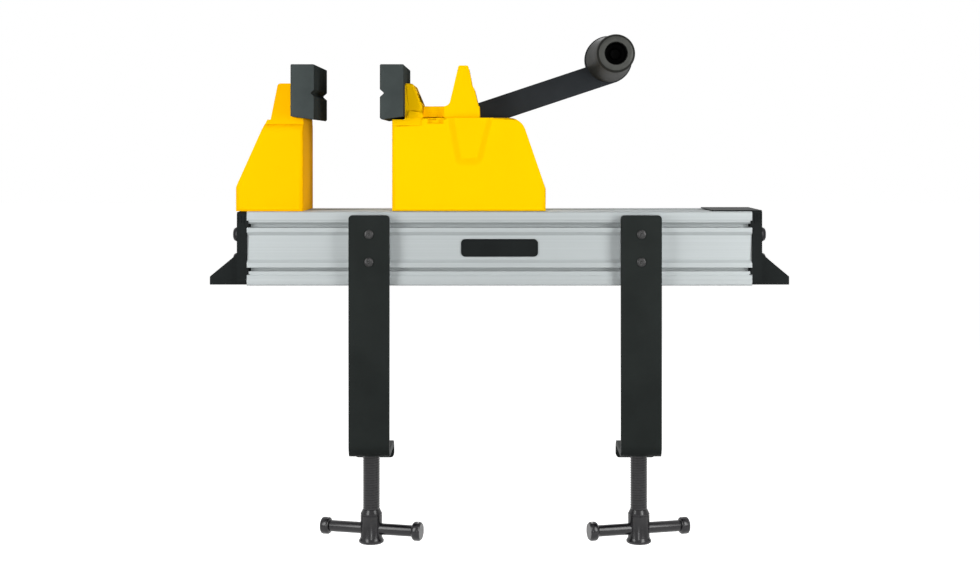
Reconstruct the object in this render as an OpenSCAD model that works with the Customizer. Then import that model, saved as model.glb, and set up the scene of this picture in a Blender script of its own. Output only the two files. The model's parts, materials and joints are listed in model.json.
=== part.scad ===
// Quick-release bench vise on an aluminium rail, with a cam lever and two bench clamps.
// Origin: middle of the rail's underside. X runs along the rail, -Y faces the user, Z is up.

/* [Rail] */
// Length of the aluminium rail
rail_len = 354; // [340:1:400]
// Width of the rail, front to back
rail_w = 66; // [65:0.5:74]
// Height of the rail
rail_h = 52; // [51:0.5:58]
// Thickness of the rail's inner walls
rail_wall = 2.6; // [2.2:0.1:3]
// Thickness of the rail's underside
rail_base = 3; // [2.4:0.1:4]
// Chamfer along the rail's long corners
rail_edge = 0.8; // [0.4:0.1:1.2]
// Width of the mouth of the top slot
slot_open = 20; // [18:0.5:22]
// Inner width of the top slot
slot_in_w = 34; // [31:0.5:36]
// Thickness of the lips over the top slot
slot_lip = 3.6; // [3:0.1:4.4]
// Inner height of the top slot
slot_in_h = 7; // [6.8:0.1:7.6]
// Thickness of the top slot's floor
slot_floor = 3; // [2.4:0.1:3.6]
// Height of the side face above the upper groove
top_lip = 8.8; // [8.4:0.1:9.4]
// Height of the side face below the lower groove
bottom_lip = 10; // [9.5:0.1:11]
// Width of the mouth of each side groove
groove_gap = 2.5; // [2.2:0.1:3]
// Thickness of the lips over the side grooves
lip_t = 2.4; // [2:0.1:2.8]
// Depth of the side grooves behind the lips
undercut_d = 3.4; // [3:0.1:3.8]
// How far the side grooves reach behind the lips
undercut_h = 4; // [3.2:0.1:4.4]
// Height of the set-back band along each lip
lip_band = 2.6; // [2:0.1:3]
// Depth of the set-back band
band_d = 0.5; // [0.3:0.1:0.8]
// Flat height of the ridges beside the grooves
ridge_h = 3.2; // [2.4:0.1:4]
// Height of the slopes into the recessed field
field_slope = 2.4; // [1.6:0.1:3]
// Depth of the recessed field
field_d = 2; // [1:0.1:2.4]
// Height of the web inside the rail
web_z = 17.3; // [16.8:0.1:18.4]
// Thickness of the web inside the rail
web_t = 2.4; // [2:0.1:3]
// Distance of the cap screws from the middle
port_y = 21; // [19:0.5:21.5]
// Outer radius of the screw ports
port_r = 4.4; // [4:0.1:4.8]
// Distance from the slot floor down to the upper screw ports
port_drop = 3; // [2.6:0.1:3.4]

/* [End caps] */
// Thickness of the cap plates
cap_t = 7; // [6:0.5:9]
// How far the caps stay inside the rail's outline
cap_inset = 0.5; // [0.3:0.1:1]
// Corner radius of the cap plates
cap_round = 2.5; // [1:0.5:4]
// Length of the feet past the caps
foot_reach = 19.4; // [19:0.1:24]
// Thickness of the feet
foot_t = 5; // [4:0.1:6]
// Gap under the feet
foot_lift = 0.5; // [0.3:0.1:0.8]
// Thickness of the gussets
gusset_t = 3.5; // [3:0.1:4.5]
// Height of the gussets at the cap
gusset_top = 22.2; // [20:0.1:24]
// Height of the gussets at the toe
toe_h = 6.2; // [6.1:0.1:8]
// Diameter of the bench screw holes in the feet
foot_hole_d = 5.5; // [4.5:0.1:6.5]
// Distance between the two holes of a foot
foot_hole_gap = 24; // [20:0.5:25]
// Distance of the holes from the cap plate
foot_hole_out = 12; // [11:0.1:13]
// Length of the lugs that register in the side grooves
lug_len = 2.2; // [1:0.1:3]
// Length of the stop tongue on the rail
stop_len = 28; // [20:0.5:30]
// Thickness of the stop tongue
stop_t = 0.8; // [0.6:0.1:1.2]
// Diameter of the cap screws
cap_screw_d = 4.2; // [3.8:0.1:4.8]
// Diameter of the cap screw heads
cap_head_d = 10.4; // [9:0.1:10.6]
// Height of the cap screw heads
cap_head_h = 4.3; // [3:0.1:4.4]
// Length of the cap screws
cap_screw_len = 20; // [14:1:26]

/* [Jaws] */
// Width of both jaw bodies
jaw_w = 62; // [58:0.5:64]
// Wall thickness of the jaw bodies
jaw_wall = 4; // [3.4:0.1:4.6]
// Height of the deck above the rail
deck_h = 65.6; // [64:0.1:70]
// Thickness of the deck
deck_t = 5; // [4:0.1:5.5]
// Step from the deck down to the pad ledge
ledge_drop = 1.2; // [0.6:0.1:1.6]
// Radius along the top edges of the fixed jaw
edge_round = 7; // [3:0.5:8]
// Radius along the top edges of the moving jaw
deck_round = 1.5; // [0.8:0.1:2.5]
// Radius of the upright corners of the jaw bodies
corner_round = 2.5; // [1:0.5:3.5]
// Height of the chamfer along the lower edges of the jaw bodies
sole_edge = 1.6; // [1:0.1:2]
// Width of the horns behind the pads
horn_w = 54; // [52:0.5:56]
// Height of the horns above the deck
horn_h = 24.3; // [22:0.1:27]
// Radius at the top of the horns
horn_round = 2.6; // [1.5:0.1:3]
// Gap between the pads
jaw_opening = 45.4; // [30:0.2:60]
// Gap between parts that slide or turn past each other
run_gap = 0.3; // [0.2:0.05:0.4]
// Radial clearance of pins and screws in their holes
fit = 0.05; // [0.03:0.01:0.08]

/* [Fixed jaw] */
// Length of the fixed jaw along the rail
fixed_len = 47.2; // [46:0.1:52]
// How far the fixed jaw reaches past the cap
fixed_over = 1.2; // [0.5:0.1:2]
// Height of its upright back
fixed_back_h = 16.4; // [12:0.1:20]
// Distance from its back to the top of the slope
fixed_slope_run = 21.6; // [20:0.1:23]
// Depth of the ledge under the fixed pad
fixed_ledge = 7.5; // [6:0.1:9]
// Height of the narrow slab that forms the ledge
fixed_step = 2.3; // [1:0.1:2.6]
// Thickness of the fixed horn at its foot
fixed_horn_foot = 15.7; // [14:0.1:16.4]
// Thickness of the fixed horn at its top
fixed_horn_top = 11; // [8:0.1:12]
// Length of the anchor block in the rail slot
anchor_len = 30; // [28:0.5:32]
// Distance from the rail's end to the anchor block
anchor_in = 5; // [4:0.5:6]
// Distance between the two anchor screws
anchor_pitch = 16; // [15:0.5:17]
// Diameter of the anchor screws
anchor_screw_d = 6; // [5:0.1:6.4]
// Diameter of the holes that give access to the anchor screws
access_d = 11; // [10.6:0.1:12]

/* [Moving jaw] */
// Length of the moving jaw along the rail
moving_len = 108; // [106:0.5:114]
// Height of its upright rear wall above the rail
knee_h = 15.6; // [14:0.1:18]
// Lean of the rear slope in degrees
rear_lean = 19; // [18:0.5:20]
// Radius of the rear shoulder
shoulder_r = 12; // [8:0.1:13]
// Depth of the ledge under the moving pad
moving_ledge = 9; // [8:0.1:10]
// Thickness of the moving horn at the saddle
moving_horn_foot = 12.2; // [11.6:0.1:14]
// Thickness of the moving horn at its top
moving_horn_top = 6.4; // [6:0.1:8]
// Height of the wider foot of the moving horn, above the deck
horn_foot_h = 5; // [3:0.1:6]
// How far the wider foot stands out beside the horn
horn_foot_out = 1.4; // [0.8:0.1:1.8]
// Set-back of the jaw's sides under the pad
ledge_set = 1.2; // [0.8:0.1:1.6]
// Height of the set-back
ledge_band = 4.2; // [3.4:0.1:4.8]
// Length of the pockets between the horn and the cheeks
pocket_len = 11.4; // [8:0.1:12]
// Depth of the pockets from the jaw's sides
pocket_d = 3.4; // [2.4:0.1:4]
// Half width of the web between horn and cover
web_half = 15; // [14:0.5:15.5]
// Height of the raised side ribs
rib_out = 2.4; // [1:0.1:2.8]
// Width of the ribs' flat face at the deck
rib_face_top_w = 16; // [13:0.5:20]
// Width of the ribs' flat face at its foot
rib_face_foot_w = 8.4; // [6:0.1:10]
// Height of the slope under the flat face
rib_foot_slope = 3; // [2:0.1:5]
// Length of the raised side ribs down from the deck
rib_drop = 34.5; // [30:0.5:38]
// Width of the raised side ribs at the deck
rib_top_w = 33; // [28:0.1:34]
// Width of the raised side ribs at their foot
rib_foot_w = 18.4; // [14:0.1:20]
// Height of the screw bosses above the slide plate
boss_h = 22; // [18:0.5:24]
// Radius of the screw bosses
boss_r = 5.5; // [5:0.1:6]
// Distance of the screw bosses from the jaw's ends
boss_in = 13; // [12:0.5:14]
// Thickness of the walls that guide the pawl
guide_wall = 4; // [3:0.1:4.4]
// Height of the walls that guide the pawl, above the rail
guide_h = 47.6; // [44:0.1:48]
// Depth of the blocks that carry the pivot pin, below the deck
block_h = 12; // [11.4:0.1:12.4]

/* [Pads] */
// Width of the pads
pad_w = 80; // [74:0.5:90]
// Thickness of the pads
pad_t = 16.8; // [15.5:0.1:18]
// Height of the pads
pad_h = 38.3; // [36:0.1:40]
// Rise of the pad's underside towards its back
pad_rise = 2.1; // [1:0.1:2.6]
// Rounding of the pad's edges
pad_round = 1; // [0.4:0.1:1.6]
// Height of the V-groove above the pad's lower edge
vee_z = 18.2; // [17:0.1:20]
// Width of the V-groove
vee_w = 5.4; // [4:0.1:6]
// Depth of the V-groove
vee_d = 3; // [2:0.1:3.4]
// Distance of the pad screws from the middle
pad_screw_y = 20.5; // [20:0.1:21]
// Height of the pad screws above the ledge
pad_screw_z = 13.4; // [13:0.1:14]
// Diameter of the pad screws
pad_screw_d = 5.8; // [5:0.1:6]
// Thickness of the horn under the pad screw heads
pad_seat_t = 6; // [5:0.1:6.5]
// Depth of the pad screws in the pad
pad_screw_in = 9; // [6:0.5:10]

/* [Mechanism cover] */
// Width of the cover
cover_w = 52; // [51:0.5:54]
// Height of the saddle above the deck
saddle_h = 8.3; // [8:0.1:9]
// Height of the pointed cheeks above the deck
peak_h = 37; // [34:0.1:40]
// Width of the cheeks at their tip
peak_tip = 7.2; // [5:0.1:8]
// Thickness of the cheeks
cheek_t = 7; // [6:0.1:7.4]
// Distance from the pivot back to the foot of the cheeks
cheek_back = 17.2; // [16.8:0.1:18]
// Radius between the cheeks and the saddle
cheek_fillet = 4.5; // [3:0.1:5]
// Distance from the pivot back to the cover's edge
cover_back = 22.3; // [22:0.1:23]
// Distance from the pivot forward to the cover's edge
cover_front = 8.1; // [8:0.1:9]
// Distance of the cover screws from the middle
cover_screw_y = 14.5; // [14.2:0.1:14.8]
// Diameter of the cover screws
cover_screw_d = 4; // [3.4:0.1:4.2]
// Diameter of the cover screws' heads
cover_head_d = 7; // [6.4:0.1:7.4]
// Height of the cover screws' heads
cover_head_h = 2.4; // [2:0.1:2.6]
// Length of the cover screws
cover_screw_len = 14; // [12:0.5:15]

/* [Lever] */
// Distance from the moving jaw's front to the lever's pivot
pivot_back = 53.5; // [53:0.1:54]
// Diameter of the pivot pin
pivot_d = 8; // [6:0.1:8]
// Length of the pivot pin
pivot_len = 22; // [20:0.5:22.4]
// Thickness of the lever
lever_t = 8; // [6:0.1:8.4]
// Width of the lever's bar
lever_w = 17; // [15:0.1:17.6]
// Distance from the pivot to the grip, along the bar
lever_len = 108.5; // [100:0.5:116]
// Tilt of the lever above level, in degrees
lever_tilt = 18.4; // [18:0.1:19]
// Radius of the lever's eye
eye_r = 17; // [15.5:0.1:18]
// Radius of the lever's hub
hub_r = 7.2; // [6.8:0.1:7.3]
// Height of the cam at the lever's rest position
cam_h = 12; // [11.8:0.1:12.1]
// Rise of the cam for each radian of turn
cam_rise = 4.4; // [4.2:0.05:4.4]
// Turn of the lever up from rest, in degrees
lever_up = 60; // [50:1:60]
// Turn of the lever down from rest, in degrees
lever_down = 45; // [40:1:45]

/* [Grip] */
// Length of the grip sleeve
grip_len = 75; // [65:0.5:85]
// Radius of the grip at the lever
grip_base_r = 14.4; // [13:0.1:15.2]
// Radius of the grip at its free end
grip_end_r = 11.8; // [11.2:0.1:13]
// Radius of the recess in the grip's end
recess_r = 7.4; // [7.2:0.1:7.8]
// Depth of the recess in the grip's end
recess_d = 14; // [9:0.5:18]
// Width of the flat ring round the recess
ring_w = 2; // [1.4:0.1:2.4]
// Diameter of the spindle in the grip
spindle_d = 8; // [7:0.1:10]
// Radius of the washer that keeps the grip on
washer_r = 6.6; // [6:0.1:6.8]
// Thickness of the washer that keeps the grip on
washer_t = 1.2; // [0.8:0.1:1.6]

/* [Locking pawl and rack] */
// Distance between two teeth
tooth_pitch = 5; // [4.8:0.1:5.4]
// Height of the rack's teeth
tooth_h = 3.3; // [3.2:0.05:3.4]
// Width of the rack's teeth at the tip
tooth_tip = 1.5; // [1.3:0.1:1.6]
// Width of the rack's teeth at the root
tooth_root = 2.9; // [2.6:0.1:3]
// Thickness of the rack below its teeth
rack_base = 1.4; // [1.2:0.1:1.5]
// Width of the rack
rack_w = 12; // [10:0.5:13]
// Teeth of the rack behind the pawl's middle
teeth_back = 12; // [12:1:14]
// Teeth of the rack ahead of the pawl's middle
teeth_ahead = 26; // [24:1:28]
// Length of the rack's end tabs
rack_tab = 10; // [9:0.5:12]
// Length of the pawl along the rail
pawl_len = 24; // [23.5:0.5:24.5]
// Width of the pawl's stem
pawl_w = 11.8; // [10:0.1:12.2]
// Height of the pawl's teeth above the rack at rest
pawl_lift = 0.35; // [0.3:0.01:0.4]
// Height of the pawl's teeth
pawl_tooth_h = 3.2; // [3.15:0.01:3.25]
// Width of the pawl's teeth at the tip
pawl_tooth_tip = 1.3; // [1:0.1:1.3]
// Width of the pawl's teeth at the root
pawl_tooth_root = 2.7; // [2.4:0.1:2.8]
// Distance from the cam's face down to the pawl's crossbar
bar_drop = 5.5; // [5.4:0.1:6]
// Length of the pawl's cam face behind the pivot
cam_pad_back = 8; // [6:0.5:8.5]
// Length of the pawl's cam face ahead of the pivot
cam_pad_ahead = 9.5; // [8:0.5:10.5]
// Height of the pawl's crossbar
bar_h = 8; // [7:0.1:9]
// Distance of the pawl springs from the jaw's side walls
spring_in = 10.5; // [9:0.1:11]
// Mean radius of the pawl springs
spring_r = 4; // [3.8:0.1:4.4]
// Thickness of the spring wire
spring_wire = 1.4; // [1:0.1:1.6]
// Turns of each pawl spring
spring_turns = 9; // [7:1:10]
// Radius of the posts inside the springs
post_r = 2.6; // [2:0.1:2.8]
// Height of the posts inside the springs
post_h = 16; // [12:0.5:18]

/* [Slide] */
// Thickness of the slide plate in the moving jaw
plate_t = 4; // [3.5:0.1:4.5]
// Length of each guide shoe
shoe_len = 28; // [26:0.5:30]
// Distance from the moving jaw's front to the front shoe
front_shoe_in = 6; // [5:0.5:7]
// Distance from the pivot to the rear shoe
rear_shoe_out = 16; // [15:0.5:17]
// Distance between the two screws of a shoe
shoe_pitch = 16; // [14:0.5:17]
// Length of the screws that hold the slide plate
plate_screw_len = 12; // [10:0.5:13]
// Diameter of the small machine screws
small_screw_d = 4; // [3.4:0.1:4.2]
// Diameter of the small machine screws' heads
small_head_d = 7.6; // [7:0.1:7.8]
// Height of the small machine screws' heads
small_head_h = 2.2; // [1.8:0.1:2.3]

/* [Clamps] */
// Position of the left clamp along the rail
left_clamp_x = -90.9; // [-110:0.1:-70]
// Position of the right clamp along the rail
right_clamp_x = 98.8; // [80:0.1:110]
// Width of the clamp straps
strap_w = 28.4; // [27:0.1:32]
// Thickness of the clamp straps
strap_t = 4.5; // [4:0.1:5]
// Distance from the rail's top down to the strap's top
strap_down = 2.5; // [2:0.1:3.5]
// Distance from the rail's underside to the strap's foot
clamp_drop = 119.8; // [115:0.1:140]
// Outer radius of the strap's bends
bend_r = 9; // [7:0.5:10]
// Length of the strap's foot from front to back
foot_len = 53.8; // [50:0.1:58]
// Length of the lip that is bent down behind the foot
lip_len = 8.7; // [8:0.1:10]
// Radius of the strap's corners
strap_round = 2.6; // [1.5:0.1:3.5]
// Thickness of the slider's web
slider_t = 2.2; // [2:0.1:2.6]
// Distance from the slider's edges to the rail's top and underside
slider_in = 5.4; // [5:0.1:6]
// Height of the upper rivet below the rail's top
rivet_top = 15.7; // [14.5:0.1:17]
// Height of the lower rivet above the rail's underside
rivet_low = 17; // [16:0.1:20]
// Diameter of the rivets
rivet_d = 4; // [3.4:0.1:4.6]
// Diameter of the rivet heads
rivet_head_d = 6.4; // [5.6:0.1:7]
// Height of the rivet heads
rivet_head_h = 1.1; // [0.8:0.1:1.4]
// Depth of the rivets' countersunk ends
rivet_sink = 1.4; // [1:0.1:1.6]
// Distance from the strap's back to the clamp screw
throat = 17.5; // [16.5:0.1:20]
// Diameter of the clamp screws
screw_d = 12; // [10:0.1:12.4]
// Width across the flats of the weld nuts
nut_af = 19; // [18:0.1:20]
// Height of the weld nuts
nut_h = 10; // [8:0.1:12]
// Gap between the rail's underside and the swivel pads
bench_gap = 56; // [52:0.5:60]
// Radius of the swivel pads
swivel_r = 12.5; // [11.5:0.1:13.5]
// Thickness of the swivel pads' rim
swivel_t = 3.5; // [3:0.1:4]
// Radius of the ball end
ball_r = 4.4; // [4.2:0.1:4.5]
// Radius of the hub round the ball
socket_r = 8; // [7.5:0.1:8.5]
// Radius of the clamp screws' necks
neck_r = 3.2; // [2.8:0.1:3.3]
// Distance from the rail's underside to the clamp screws' hubs
hub_drop = 159.4; // [156:0.1:175]
// Height of the clamp screws' hubs
hub_h = 24; // [22:0.5:28]
// Radius of the clamp screws' hubs
screw_hub_r = 7.7; // [7:0.1:8.5]
// Radius of the rim at the foot of the hubs
rim_r = 8.9; // [8.6:0.1:9.5]
// Height of the tommy bars above the hub's foot
bar_up = 10; // [9.5:0.1:11]
// Diameter of the tommy bars
bar_d = 8; // [7:0.1:8.2]
// Radial clearance of the tommy bars in their holes
bar_fit = 0.09; // [0.05:0.01:0.1]
// Length of the tommy bars
bar_len = 74.5; // [70:0.5:90]
// Length of the tommy bars' heads
head_len = 6.5; // [5:0.1:8]
// Diameter of the forged heads
head_d = 13.4; // [12:0.1:14]
// Diameter of the pressed-on caps
tommy_cap_d = 12; // [11:0.1:13]
// Turn of the tommy bars away from the rail's direction, in degrees
bar_turn = 15; // [0:1:40]

/* [Hidden] */
$fn = 64;
eps = 0.01;

YELLOW = [1.0, 0.8, 0.0];
BLACK = [0.12, 0.13, 0.14];
PAD_GREY = [0.25, 0.27, 0.27];
STEEL = [0.62, 0.63, 0.65];
SILVER = [0.82, 0.85, 0.86];

// Rail levels
rail_end = rail_len / 2;
slot_floor_z = rail_h - slot_lip - slot_in_h;
slot_under_z = slot_floor_z - slot_floor;
upper_groove_z = rail_h - top_lip - groove_gap;
upper_port_z = slot_under_z - port_drop;
undercut_back = rail_w / 2 - lip_t - undercut_d;
cap_out = rail_end + cap_t;
foot_w = 2 * (port_y + cap_head_d / 2 + run_gap + gusset_t);

// Jaw levels and places along the rail
slide_z = rail_h + run_gap;
deck_z = rail_h + deck_h;
ledge_z = deck_z - ledge_drop;
horn_z = deck_z + horn_h;
saddle_z = deck_z + saddle_h;
fixed_top_z = ledge_z - fixed_step;
fixed_back_x = -cap_out - fixed_over;
fixed_front_x = fixed_back_x + fixed_len;
fixed_horn_x = fixed_front_x - fixed_ledge;
fixed_face_x = fixed_horn_x + pad_t;
moving_face_x = fixed_face_x + jaw_opening;
moving_horn_x = moving_face_x + pad_t;
moving_front_x = moving_horn_x - moving_ledge;
moving_rear_x = moving_front_x + moving_len;
pivot_x = moving_front_x + pivot_back;
pivot_z = deck_z;
slot_half = lever_t / 2 + run_gap;
anchor_mid_x = -rail_end + anchor_in + anchor_len / 2;
anchor_xs = [anchor_mid_x - anchor_pitch / 2, anchor_mid_x + anchor_pitch / 2];

// Pawl and rack levels
rack_tip_z = slot_floor_z + rack_base + tooth_h;
rack_xs = [pivot_x - teeth_back * tooth_pitch, pivot_x + teeth_ahead * tooth_pitch];
cam_face_z = pivot_z - cam_h - fit;
bar_top_z = cam_face_z - bar_drop;
plate_top_z = slide_z + plate_t;
shoe_xs = [moving_front_x + front_shoe_in + shoe_len / 2, pivot_x + rear_shoe_out + shoe_len / 2];
boss_xs = [moving_front_x + boss_in, moving_rear_x - boss_in];
boss_y = jaw_w / 2 - jaw_wall - boss_r + 0.5;
spring_y = jaw_w / 2 - jaw_wall - spring_in;

// Clamp levels
side_y = -rail_w / 2;
slider_back_y = side_y - run_gap;
slider_front_y = slider_back_y - slider_t;
strap_front_y = slider_front_y - strap_t;
screw_y = slider_front_y + throat;
ball_z = -bench_gap - swivel_t - ball_r / 2;
bar_z = -hub_drop - hub_h + bar_up;

// Grip place on the lever
grip_x = pivot_x + lever_len * cos(lever_tilt) - lever_w / 2 * sin(lever_tilt);
grip_z = pivot_z + lever_len * sin(lever_tilt) + lever_w / 2 * cos(lever_tilt);
grip_y = -lever_t / 2 - run_gap;
spindle_end_y = grip_y - grip_len + recess_d - 0.2;

function arc(cx, cz, r, from, to, n) =
    [for (i = [0:n]) let (a = from + (to - from) * i / n) [cx + r * cos(a), cz + r * sin(a)]];

module along_x(len) {
    rotate([90, 0, 90]) linear_extrude(len, center = true) children();
}

module along_y(len) {
    rotate([90, 0, 0]) linear_extrude(len, center = true) children();
}

module both_sides() {
    children();
    mirror([0, 1, 0]) children();
}

module round_rect(w, h, r) {
    square([w - 2 * r, h], center = true);
    square([w, h - 2 * r], center = true);
    for (x = [-1, 1], y = [-1, 1]) {
        translate([x * (w / 2 - r), y * (h / 2 - r)]) circle(r);
    }
}

// Machine screw with its seat at the origin, pointing down
module screw(d, len, head_d, head_h) {
    translate([0, 0, -len]) cylinder(d = d, h = len + eps);
    cylinder(d = head_d, h = head_h * 0.55);
    translate([0, 0, head_h * 0.55]) cylinder(d1 = head_d, d2 = head_d * 0.72, h = head_h * 0.45);
}

// Rail section: across the rail and up
module rail_outline() {
    w = rail_w / 2;
    c = rail_edge;
    polygon([[-w + c, 0], [w - c, 0], [w, c], [w, rail_h - c], [w - c, rail_h],
        [-w + c, rail_h], [-w, rail_h - c], [-w, c]]);
}

module side_cut() {
    w = rail_w / 2;
    low = bottom_lip + groove_gap + ridge_h;
    high = upper_groove_z - ridge_h;
    depth = lip_t + undercut_d;
    translate([w - band_d, bottom_lip - lip_band]) square([1, lip_band]);
    translate([w - band_d, rail_h - top_lip]) square([1, lip_band]);
    translate([w - depth, bottom_lip]) square([depth + 1, groove_gap]);
    translate([w - depth, upper_groove_z]) square([depth + 1, groove_gap]);
    translate([w - depth, bottom_lip - undercut_h]) square([undercut_d, undercut_h + groove_gap]);
    translate([w - depth, upper_groove_z]) square([undercut_d, undercut_h + groove_gap]);
    polygon([[w + 1, low], [w, low], [w - field_d, low + field_slope],
        [w - field_d, high - field_slope], [w, high], [w + 1, high]]);
}

module rail_hollow() {
    inner = undercut_back - rail_wall;
    wide = rail_w / 2 - field_d - rail_wall;
    low = bottom_lip + groove_gap + rail_wall;
    high = upper_groove_z - rail_wall;
    arm = slot_in_w / 2 + rail_wall;
    translate([-inner, rail_base]) square([2 * inner, slot_under_z - rail_base]);
    translate([-wide, low]) square([2 * wide, high - low]);
    for (s = [0, 1]) {
        mirror([s, 0]) translate([arm, slot_under_z - 1]) square([inner - arm, slot_in_h + slot_floor + 1]);
    }
}

module ports() {
    for (y = [-port_y, port_y], z = [upper_port_z, web_z]) {
        translate([y, z]) circle(port_r);
    }
    wide = rail_w / 2 - field_d - rail_wall / 2;
    translate([-wide, web_z - web_t / 2]) square([2 * wide, web_t]);
}

module rail_section() {
    difference() {
        union() {
            difference() {
                rail_outline();
                rail_hollow();
            }
            ports();
        }
        for (s = [0, 1]) mirror([s, 0]) side_cut();
        translate([-slot_in_w / 2, slot_floor_z]) square([slot_in_w, slot_in_h]);
        translate([-slot_open / 2, slot_floor_z]) square([slot_open, rail_h]);
        for (y = [-port_y, port_y], z = [upper_port_z, web_z]) {
            translate([y, z]) circle(d = cap_screw_d + 2 * fit);
        }
    }
}

module rail() {
    color(SILVER) difference() {
        along_x(rail_len) rail_section();
        for (x = anchor_xs) translate([x, 0, -1]) cylinder(d = access_d, h = slot_floor_z + 2);
        for (x = rack_screw_xs()) {
            translate([x, 0, slot_under_z - 1]) cylinder(d = small_screw_d + 2 * fit, h = slot_floor + 2);
        }
    }
}

// End caps, drawn for the right end
module foot() {
    z = foot_lift;
    side = [[cap_out - 1, z], [cap_out - 1, gusset_top], [cap_out, gusset_top],
        [cap_out + foot_reach, toe_h], [cap_out + foot_reach, z]];
    translate([cap_out - 1, -foot_w / 2, z]) cube([foot_reach + 1, foot_w, foot_t]);
    both_sides() translate([0, (foot_w - gusset_t) / 2, 0]) along_y(gusset_t) polygon(side);
}

// Lugs in the undercuts, with a tab that closes each groove's mouth
module groove_lugs() {
    g = run_gap;
    u = undercut_back + g;
    h = undercut_h + groove_gap - 2 * g;
    face = rail_w / 2;
    both_sides() for (z = [bottom_lip - undercut_h + g, upper_groove_z + g]) {
        translate([rail_end - lug_len, u, z]) cube([lug_len + 1, undercut_d - 2 * g, h]);
    }
    both_sides() for (z = [bottom_lip + g, upper_groove_z + g]) {
        translate([rail_end - lug_len, u, z]) cube([lug_len + 1, face - u, groove_gap - 2 * g]);
    }
    both_sides() for (z = [bottom_lip - lip_band + g, upper_groove_z + g]) {
        translate([rail_end - lug_len, face - band_d + fit, z]) {
            cube([lug_len + 1, band_d - fit, lip_band + groove_gap - 2 * g]);
        }
    }
}

module end_cap(top_z) {
    w = rail_w - 2 * cap_inset;
    h = top_z - foot_lift;
    difference() {
        union() {
            translate([rail_end + cap_t / 2, 0, foot_lift + h / 2]) along_x(cap_t) {
                round_rect(w, h, cap_round);
            }
            foot();
            groove_lugs();
        }
        for (y = [-port_y, port_y], z = [upper_port_z, web_z]) {
            translate([rail_end - 1, y, z]) rotate([0, 90, 0]) cylinder(d = cap_screw_d + 1, h = cap_t + 2);
        }
        for (s = [-1, 1]) translate([cap_out + foot_hole_out, s * foot_hole_gap / 2, -1]) {
            cylinder(d = foot_hole_d, h = foot_lift + foot_t + 2);
        }
    }
}

module left_end_cap() {
    color(BLACK) mirror([1, 0, 0]) end_cap(rail_h - cap_inset);
}

module right_end_cap() {
    w = rail_w - 2 * (cap_inset + cap_round);
    color(BLACK) {
        end_cap(rail_h + stop_t);
        translate([rail_end - stop_len, -w / 2, rail_h]) cube([stop_len + 1, w, stop_t]);
    }
}

module cap_screws() {
    for (y = [-port_y, port_y], z = [upper_port_z, web_z]) translate([cap_out, y, z]) rotate([0, 90, 0]) {
        screw(cap_screw_d, cap_screw_len, cap_head_d, cap_head_h);
    }
}

// Jaw bodies: a profile seen from the side, with rounded upright corners and top edges
module jaw_shape(x0, x1, top_z, r) {
    h = top_z - rail_h;
    w = jaw_w / 2;
    low = w - sole_edge * 0.6;
    intersection() {
        along_y(jaw_w + 1) children();
        translate([(x0 + x1) / 2, 0, rail_h - 1]) linear_extrude(h + 2) {
            round_rect(x1 - x0, jaw_w, corner_round);
        }
        translate([(x0 + x1) / 2, 0, rail_h]) along_x(x1 - x0 + 1) {
            polygon([[-low, 0], [low, 0], [w, sole_edge], [w, h - r], [-w, h - r], [-w, sole_edge]]);
            translate([-w + r, h / 2]) square([2 * (w - r), h / 2]);
            for (s = [-1, 1]) translate([s * (w - r), h - r]) circle(r);
        }
    }
}

// Hole and head recess of one pad screw, along +X from the pad's side of the horn
module pad_screw_cut() {
    translate([-1, 0, 0]) rotate([0, 90, 0]) cylinder(d = pad_screw_d + 2 * fit, h = pad_seat_t + 2);
    translate([pad_seat_t, 0, 0]) rotate([0, 90, 0]) cylinder(d = pad_screw_d + 5, h = 20);
}

module pad_screw_places() {
    for (s = [-1, 1]) translate([0, s * pad_screw_y, ledge_z + pad_screw_z]) children();
}

function slope_x(z) =
    fixed_back_x + fixed_slope_run * (z - rail_h - fixed_back_h) / (ledge_z - rail_h - fixed_back_h);

module fixed_profile() {
    polygon([[fixed_back_x, rail_h], [fixed_back_x, rail_h + fixed_back_h],
        [slope_x(fixed_top_z), fixed_top_z], [fixed_front_x, fixed_top_z], [fixed_front_x, rail_h]]);
}

module fixed_slab_profile() {
    low = fixed_top_z - 2;
    polygon([[slope_x(low), low], [slope_x(ledge_z), ledge_z],
        [fixed_front_x, ledge_z], [fixed_front_x, low]]);
}

module fixed_horn_profile() {
    foot_x = fixed_horn_x - fixed_horn_foot;
    top_x = fixed_horn_x - fixed_horn_top;
    r = horn_round;
    polygon(concat([[fixed_horn_x, ledge_z - 2]], arc(fixed_horn_x - 1, horn_z - 1, 1, 0, 90, 3),
        arc(top_x + r, horn_z - r, r, 90, 167, 6), [[foot_x, ledge_z], [foot_x, ledge_z - 2]]));
}

module fixed_hollow() {
    t = jaw_wall + 1;
    slope_x = fixed_back_x + fixed_slope_run;
    difference() {
        along_y(jaw_w - 2 * t) polygon([[fixed_back_x + t, rail_h - 1],
            [fixed_back_x + t, rail_h + fixed_back_h - 2], [slope_x + t - 2, ledge_z - 2 * t],
            [fixed_front_x - t, ledge_z - 2 * t], [fixed_front_x - t, rail_h - 1]]);
        for (x = anchor_xs) translate([x, 0, rail_h - 1]) cylinder(r = anchor_screw_d + 1.5, h = 30);
        translate([fixed_back_x, -jaw_wall / 2, rail_h - 1]) cube([fixed_len, jaw_wall, 22]);
    }
}

module fixed_jaw() {
    color(YELLOW) difference() {
        union() {
            jaw_shape(fixed_back_x, fixed_front_x, fixed_top_z, edge_round) fixed_profile();
            along_y(horn_w) fixed_slab_profile();
            along_y(horn_w) fixed_horn_profile();
        }
        fixed_hollow();
        pad_screw_places() translate([fixed_horn_x, 0, 0]) rotate([0, 180, 0]) pad_screw_cut();
        for (x = anchor_xs) translate([x, 0, rail_h - 1]) cylinder(d = anchor_screw_d + 2 * fit, h = 26);
    }
}

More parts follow.
